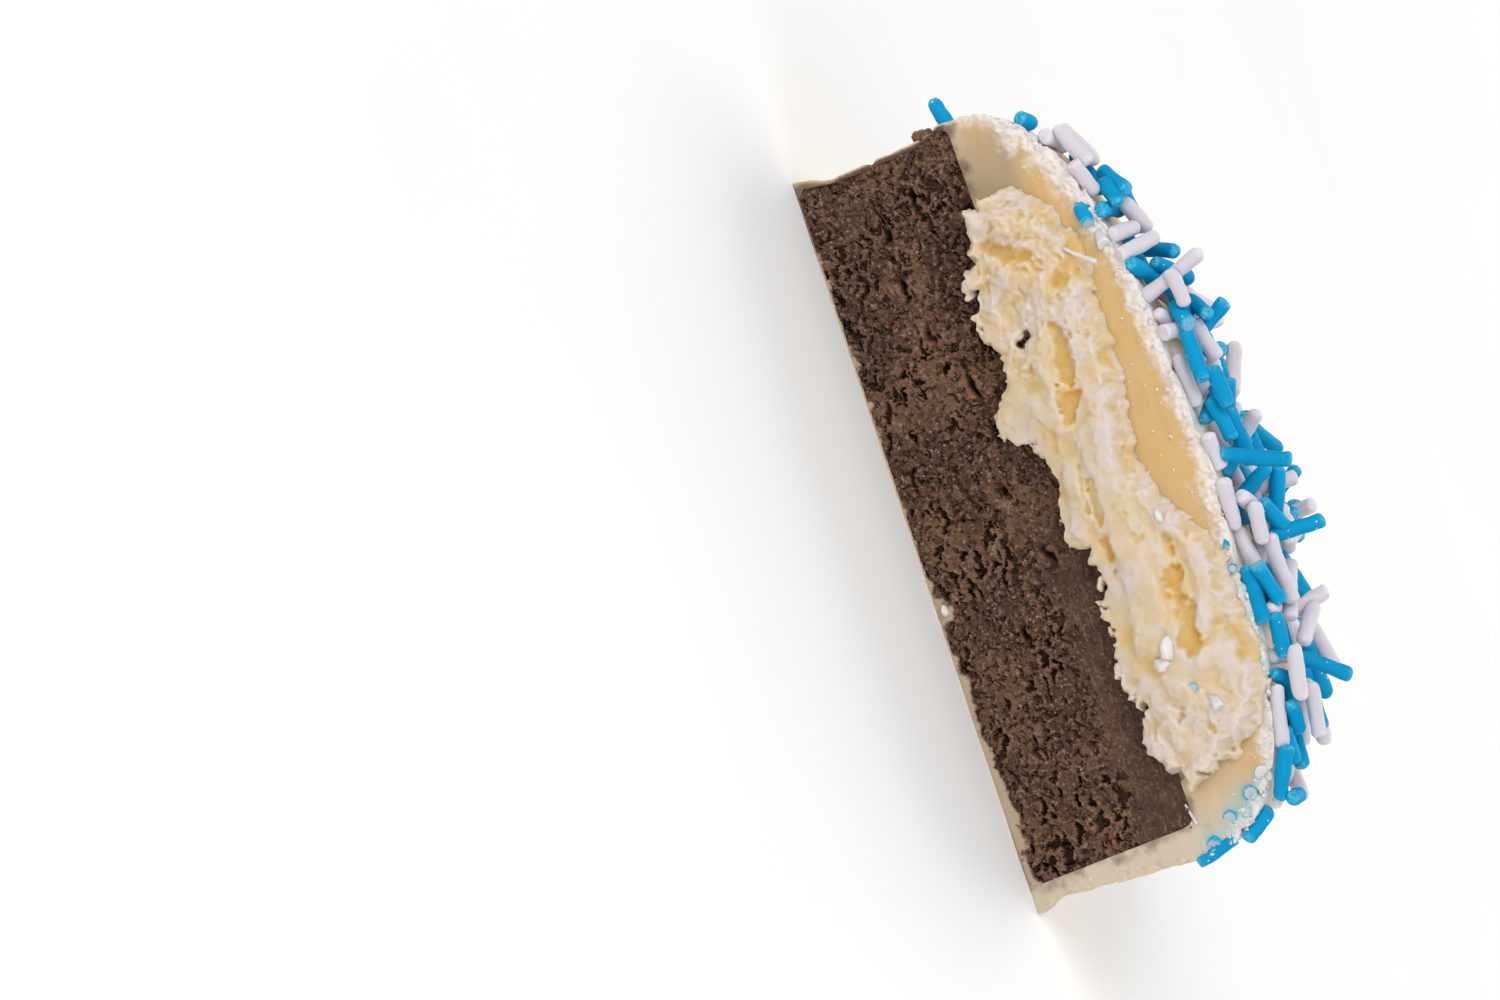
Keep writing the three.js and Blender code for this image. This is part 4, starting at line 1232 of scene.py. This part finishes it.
dice = np.random.default_rng(17)
along_rim = rim_line[(rim_line[:, 1] > 15.5) & (rim_line[:, 0] > -30.5)]
spots = along_rim[dice.integers(len(along_rim), size=RIM_CRUMBS)] - (0, 0.1)
inward = np.column_stack([-spots[:, 0] / 60, np.full(RIM_CRUMBS, -1)])
x, z = (spots + inward * (0.05 + 1.5 * dice.random(RIM_CRUMBS) ** 2)[:, None]).T
spots = np.column_stack([x, coat_face(x, z) + dice.uniform(0, 0.12, RIM_CRUMBS), z])
sizes = 0.18 + 0.5 * dice.random(RIM_CRUMBS) ** 4
x, z = np.array(ON_BAND).T
chips = np.array(CHIPS)
spots = np.vstack([spots, np.column_stack([x, coat_face(x, z) - 0.05, z]), chips[:, :3]])
sizes = np.concatenate([sizes, dice.uniform(0.25, 0.5, len(ON_BAND)), chips[:, 3]])
white_crumbs = lumps("white_crumbs", spots, sizes, dice, 0.5)
white_crumbs.data.shade_smooth()
for name, share in (("gold", 0), ("painted_shade", 0), ("chalk", 1), ("soil", 0), ("stain", 0)):
    mark(white_crumbs, name, np.full(len(white_crumbs.data.vertices), share))
dress(white_crumbs, coat_material, "coat", "white_chocolate_coat")

# The first 20 points of the torn outline run along the biscuit
edge = closed_curve(TORN_OUTLINE[:20], 8)[: 19 * 8]
spots = edge[dice.integers(len(edge), size=EDGE_CRUMBS)] + dice.normal(0, 0.35, (EDGE_CRUMBS, 2)) - (0, 0.35)
spots = np.column_stack([spots[:, 0], dice.uniform(-0.35, 0.1, EDGE_CRUMBS), spots[:, 1]])
sizes = 0.18 + 0.4 * dice.random(EDGE_CRUMBS) ** 2
corner = np.array(CORNER) + dice.normal(0, (0.28, 0.3, 0.4), (CORNER_CRUMBS, 3))
in_gap = np.array(GAP_MIDDLE) + dice.normal(0, (0.35, 0.1, 0.3), (GAP_CRUMBS, 3))
spots = np.vstack([spots, corner, in_gap])
sizes = [sizes, dice.uniform(0.7, 1.3, CORNER_CRUMBS), dice.uniform(0.4, 0.7, GAP_CRUMBS)]
brown_crumbs = lumps("brown_crumbs", spots, np.concatenate(sizes), dice, 0.8)
# The crumbs get a faint painted highlight, as on crumb that stands proud
for name, value in (("depth", 0), ("proud", 0.12), ("smear", 0), ("milk", 0)):
    mark(brown_crumbs, name, np.full(len(brown_crumbs.data.vertices), value))
dress(brown_crumbs, crumb_material, "biscuit", "chocolate_biscuit")

# ---- Stage and camera ----------------------------------------------------------------------------------
# A pale table under broad, soft light. The camera lies on its side, with a long lens, so that the cookie
# seems to stand on end.

IMAGE_WIDTH = 1500
PIXELS_PER_MM = 12.3
LENS, SENSOR = 135, 36
CUT_MIDDLE = Vector((0, AXIS_Y, 12.9)) * MM
CUT_MIDDLE_IN_IMAGE = Vector((308, 7))  # pixels from the middle of the image to the right and up
ALONG_IN_IMAGE = Vector((0.3362, -0.9418))  # the way that +X runs in the image, to the right and up
TURN, HEIGHT = math.radians(4), math.radians(13.5)  # from straight in front of the cut: to +X and up

focal = IMAGE_WIDTH * LENS / SENSOR
distance = focal / PIXELS_PER_MM * MM
back = Vector((math.sin(TURN) * math.cos(HEIGHT), -math.cos(TURN) * math.cos(HEIGHT), math.sin(HEIGHT)))
level = Vector((0, 0, 1)).cross(back).normalized()
upright = back.cross(level)
right = ALONG_IN_IMAGE.x * level - ALONG_IN_IMAGE.y * upright
up = ALONG_IN_IMAGE.y * level + ALONG_IN_IMAGE.x * upright
aim = back + (CUT_MIDDLE_IN_IMAGE.x * right + CUT_MIDDLE_IN_IMAGE.y * up) / focal
aim.normalize()
right = (right - right.dot(aim) * aim).normalized()
up = aim.cross(right)
camera = bpy.data.objects.new("camera", bpy.data.cameras.new("camera"))
camera.data.lens, camera.data.sensor_width = LENS, SENSOR
camera.data.clip_start, camera.data.clip_end = 0.01, 20
camera.matrix_world = Matrix.Translation(CUT_MIDDLE + back * distance) @ Matrix(
    (right, up, aim)
).transposed().to_4x4()
bpy.context.scene.collection.objects.link(camera)
bpy.context.scene.camera = camera
bpy.context.scene.view_settings.view_transform = "Standard"


def pale_table():
    """Matt white laminate, which shows a soft shadow and no glare."""
    material, place = new_material("pale_table")
    mottle = add(material, "TexNoise", {"Vector": place, "Scale": 0.02, "Detail": 2})
    colour = add(
        material, "Mix", {"Factor": mottle.outputs["Fac"], "A": linear("#f4f3f2"), "B": linear("#f8f8f7")},
        data_type="RGBA",
    )
    surface = add(material, "BsdfPrincipled", {"Base Color": colour.outputs["Result"], "Roughness": 0.7})
    add(material, "OutputMaterial", {"Surface": surface.outputs[0]})
    return material


TABLE_RADIUS = 6000
DAYLIGHT = 0.48
ring = np.arange(64) * 2 * math.pi / 64
rim = np.column_stack([TABLE_RADIUS * np.cos(ring), TABLE_RADIUS * np.sin(ring), np.zeros(64)])
table = piece_of("table", rim, [list(range(64))])
table.data.materials.append(pale_table())

LIGHTS = {  # name: where it stands in m, its size in m, its power in W
    "key": ((-0.5, -0.7, 0.75), 0.8, 6.1),
    "fill": ((0.7, -0.6, 0.5), 0.8, 2.5),
    "back": ((0.1, 0.8, 0.7), 0.7, 4),
}
for name, (place, size, power) in LIGHTS.items():
    lamp = bpy.data.lights.new(name, "AREA")
    lamp.shape, lamp.size, lamp.energy = "DISK", size, power
    holder = bpy.data.objects.new(name, lamp)
    holder.location = place
    holder.rotation_euler = Vector(place).to_track_quat("Z", "Y").to_euler()
    bpy.context.scene.collection.objects.link(holder)
world = bpy.data.worlds.new("daylight")
world.use_nodes = True
world.node_tree.nodes["Background"].inputs["Color"].default_value = linear("#ffffff")
world.node_tree.nodes["Background"].inputs["Strength"].default_value = DAYLIGHT
bpy.context.scene.world = world
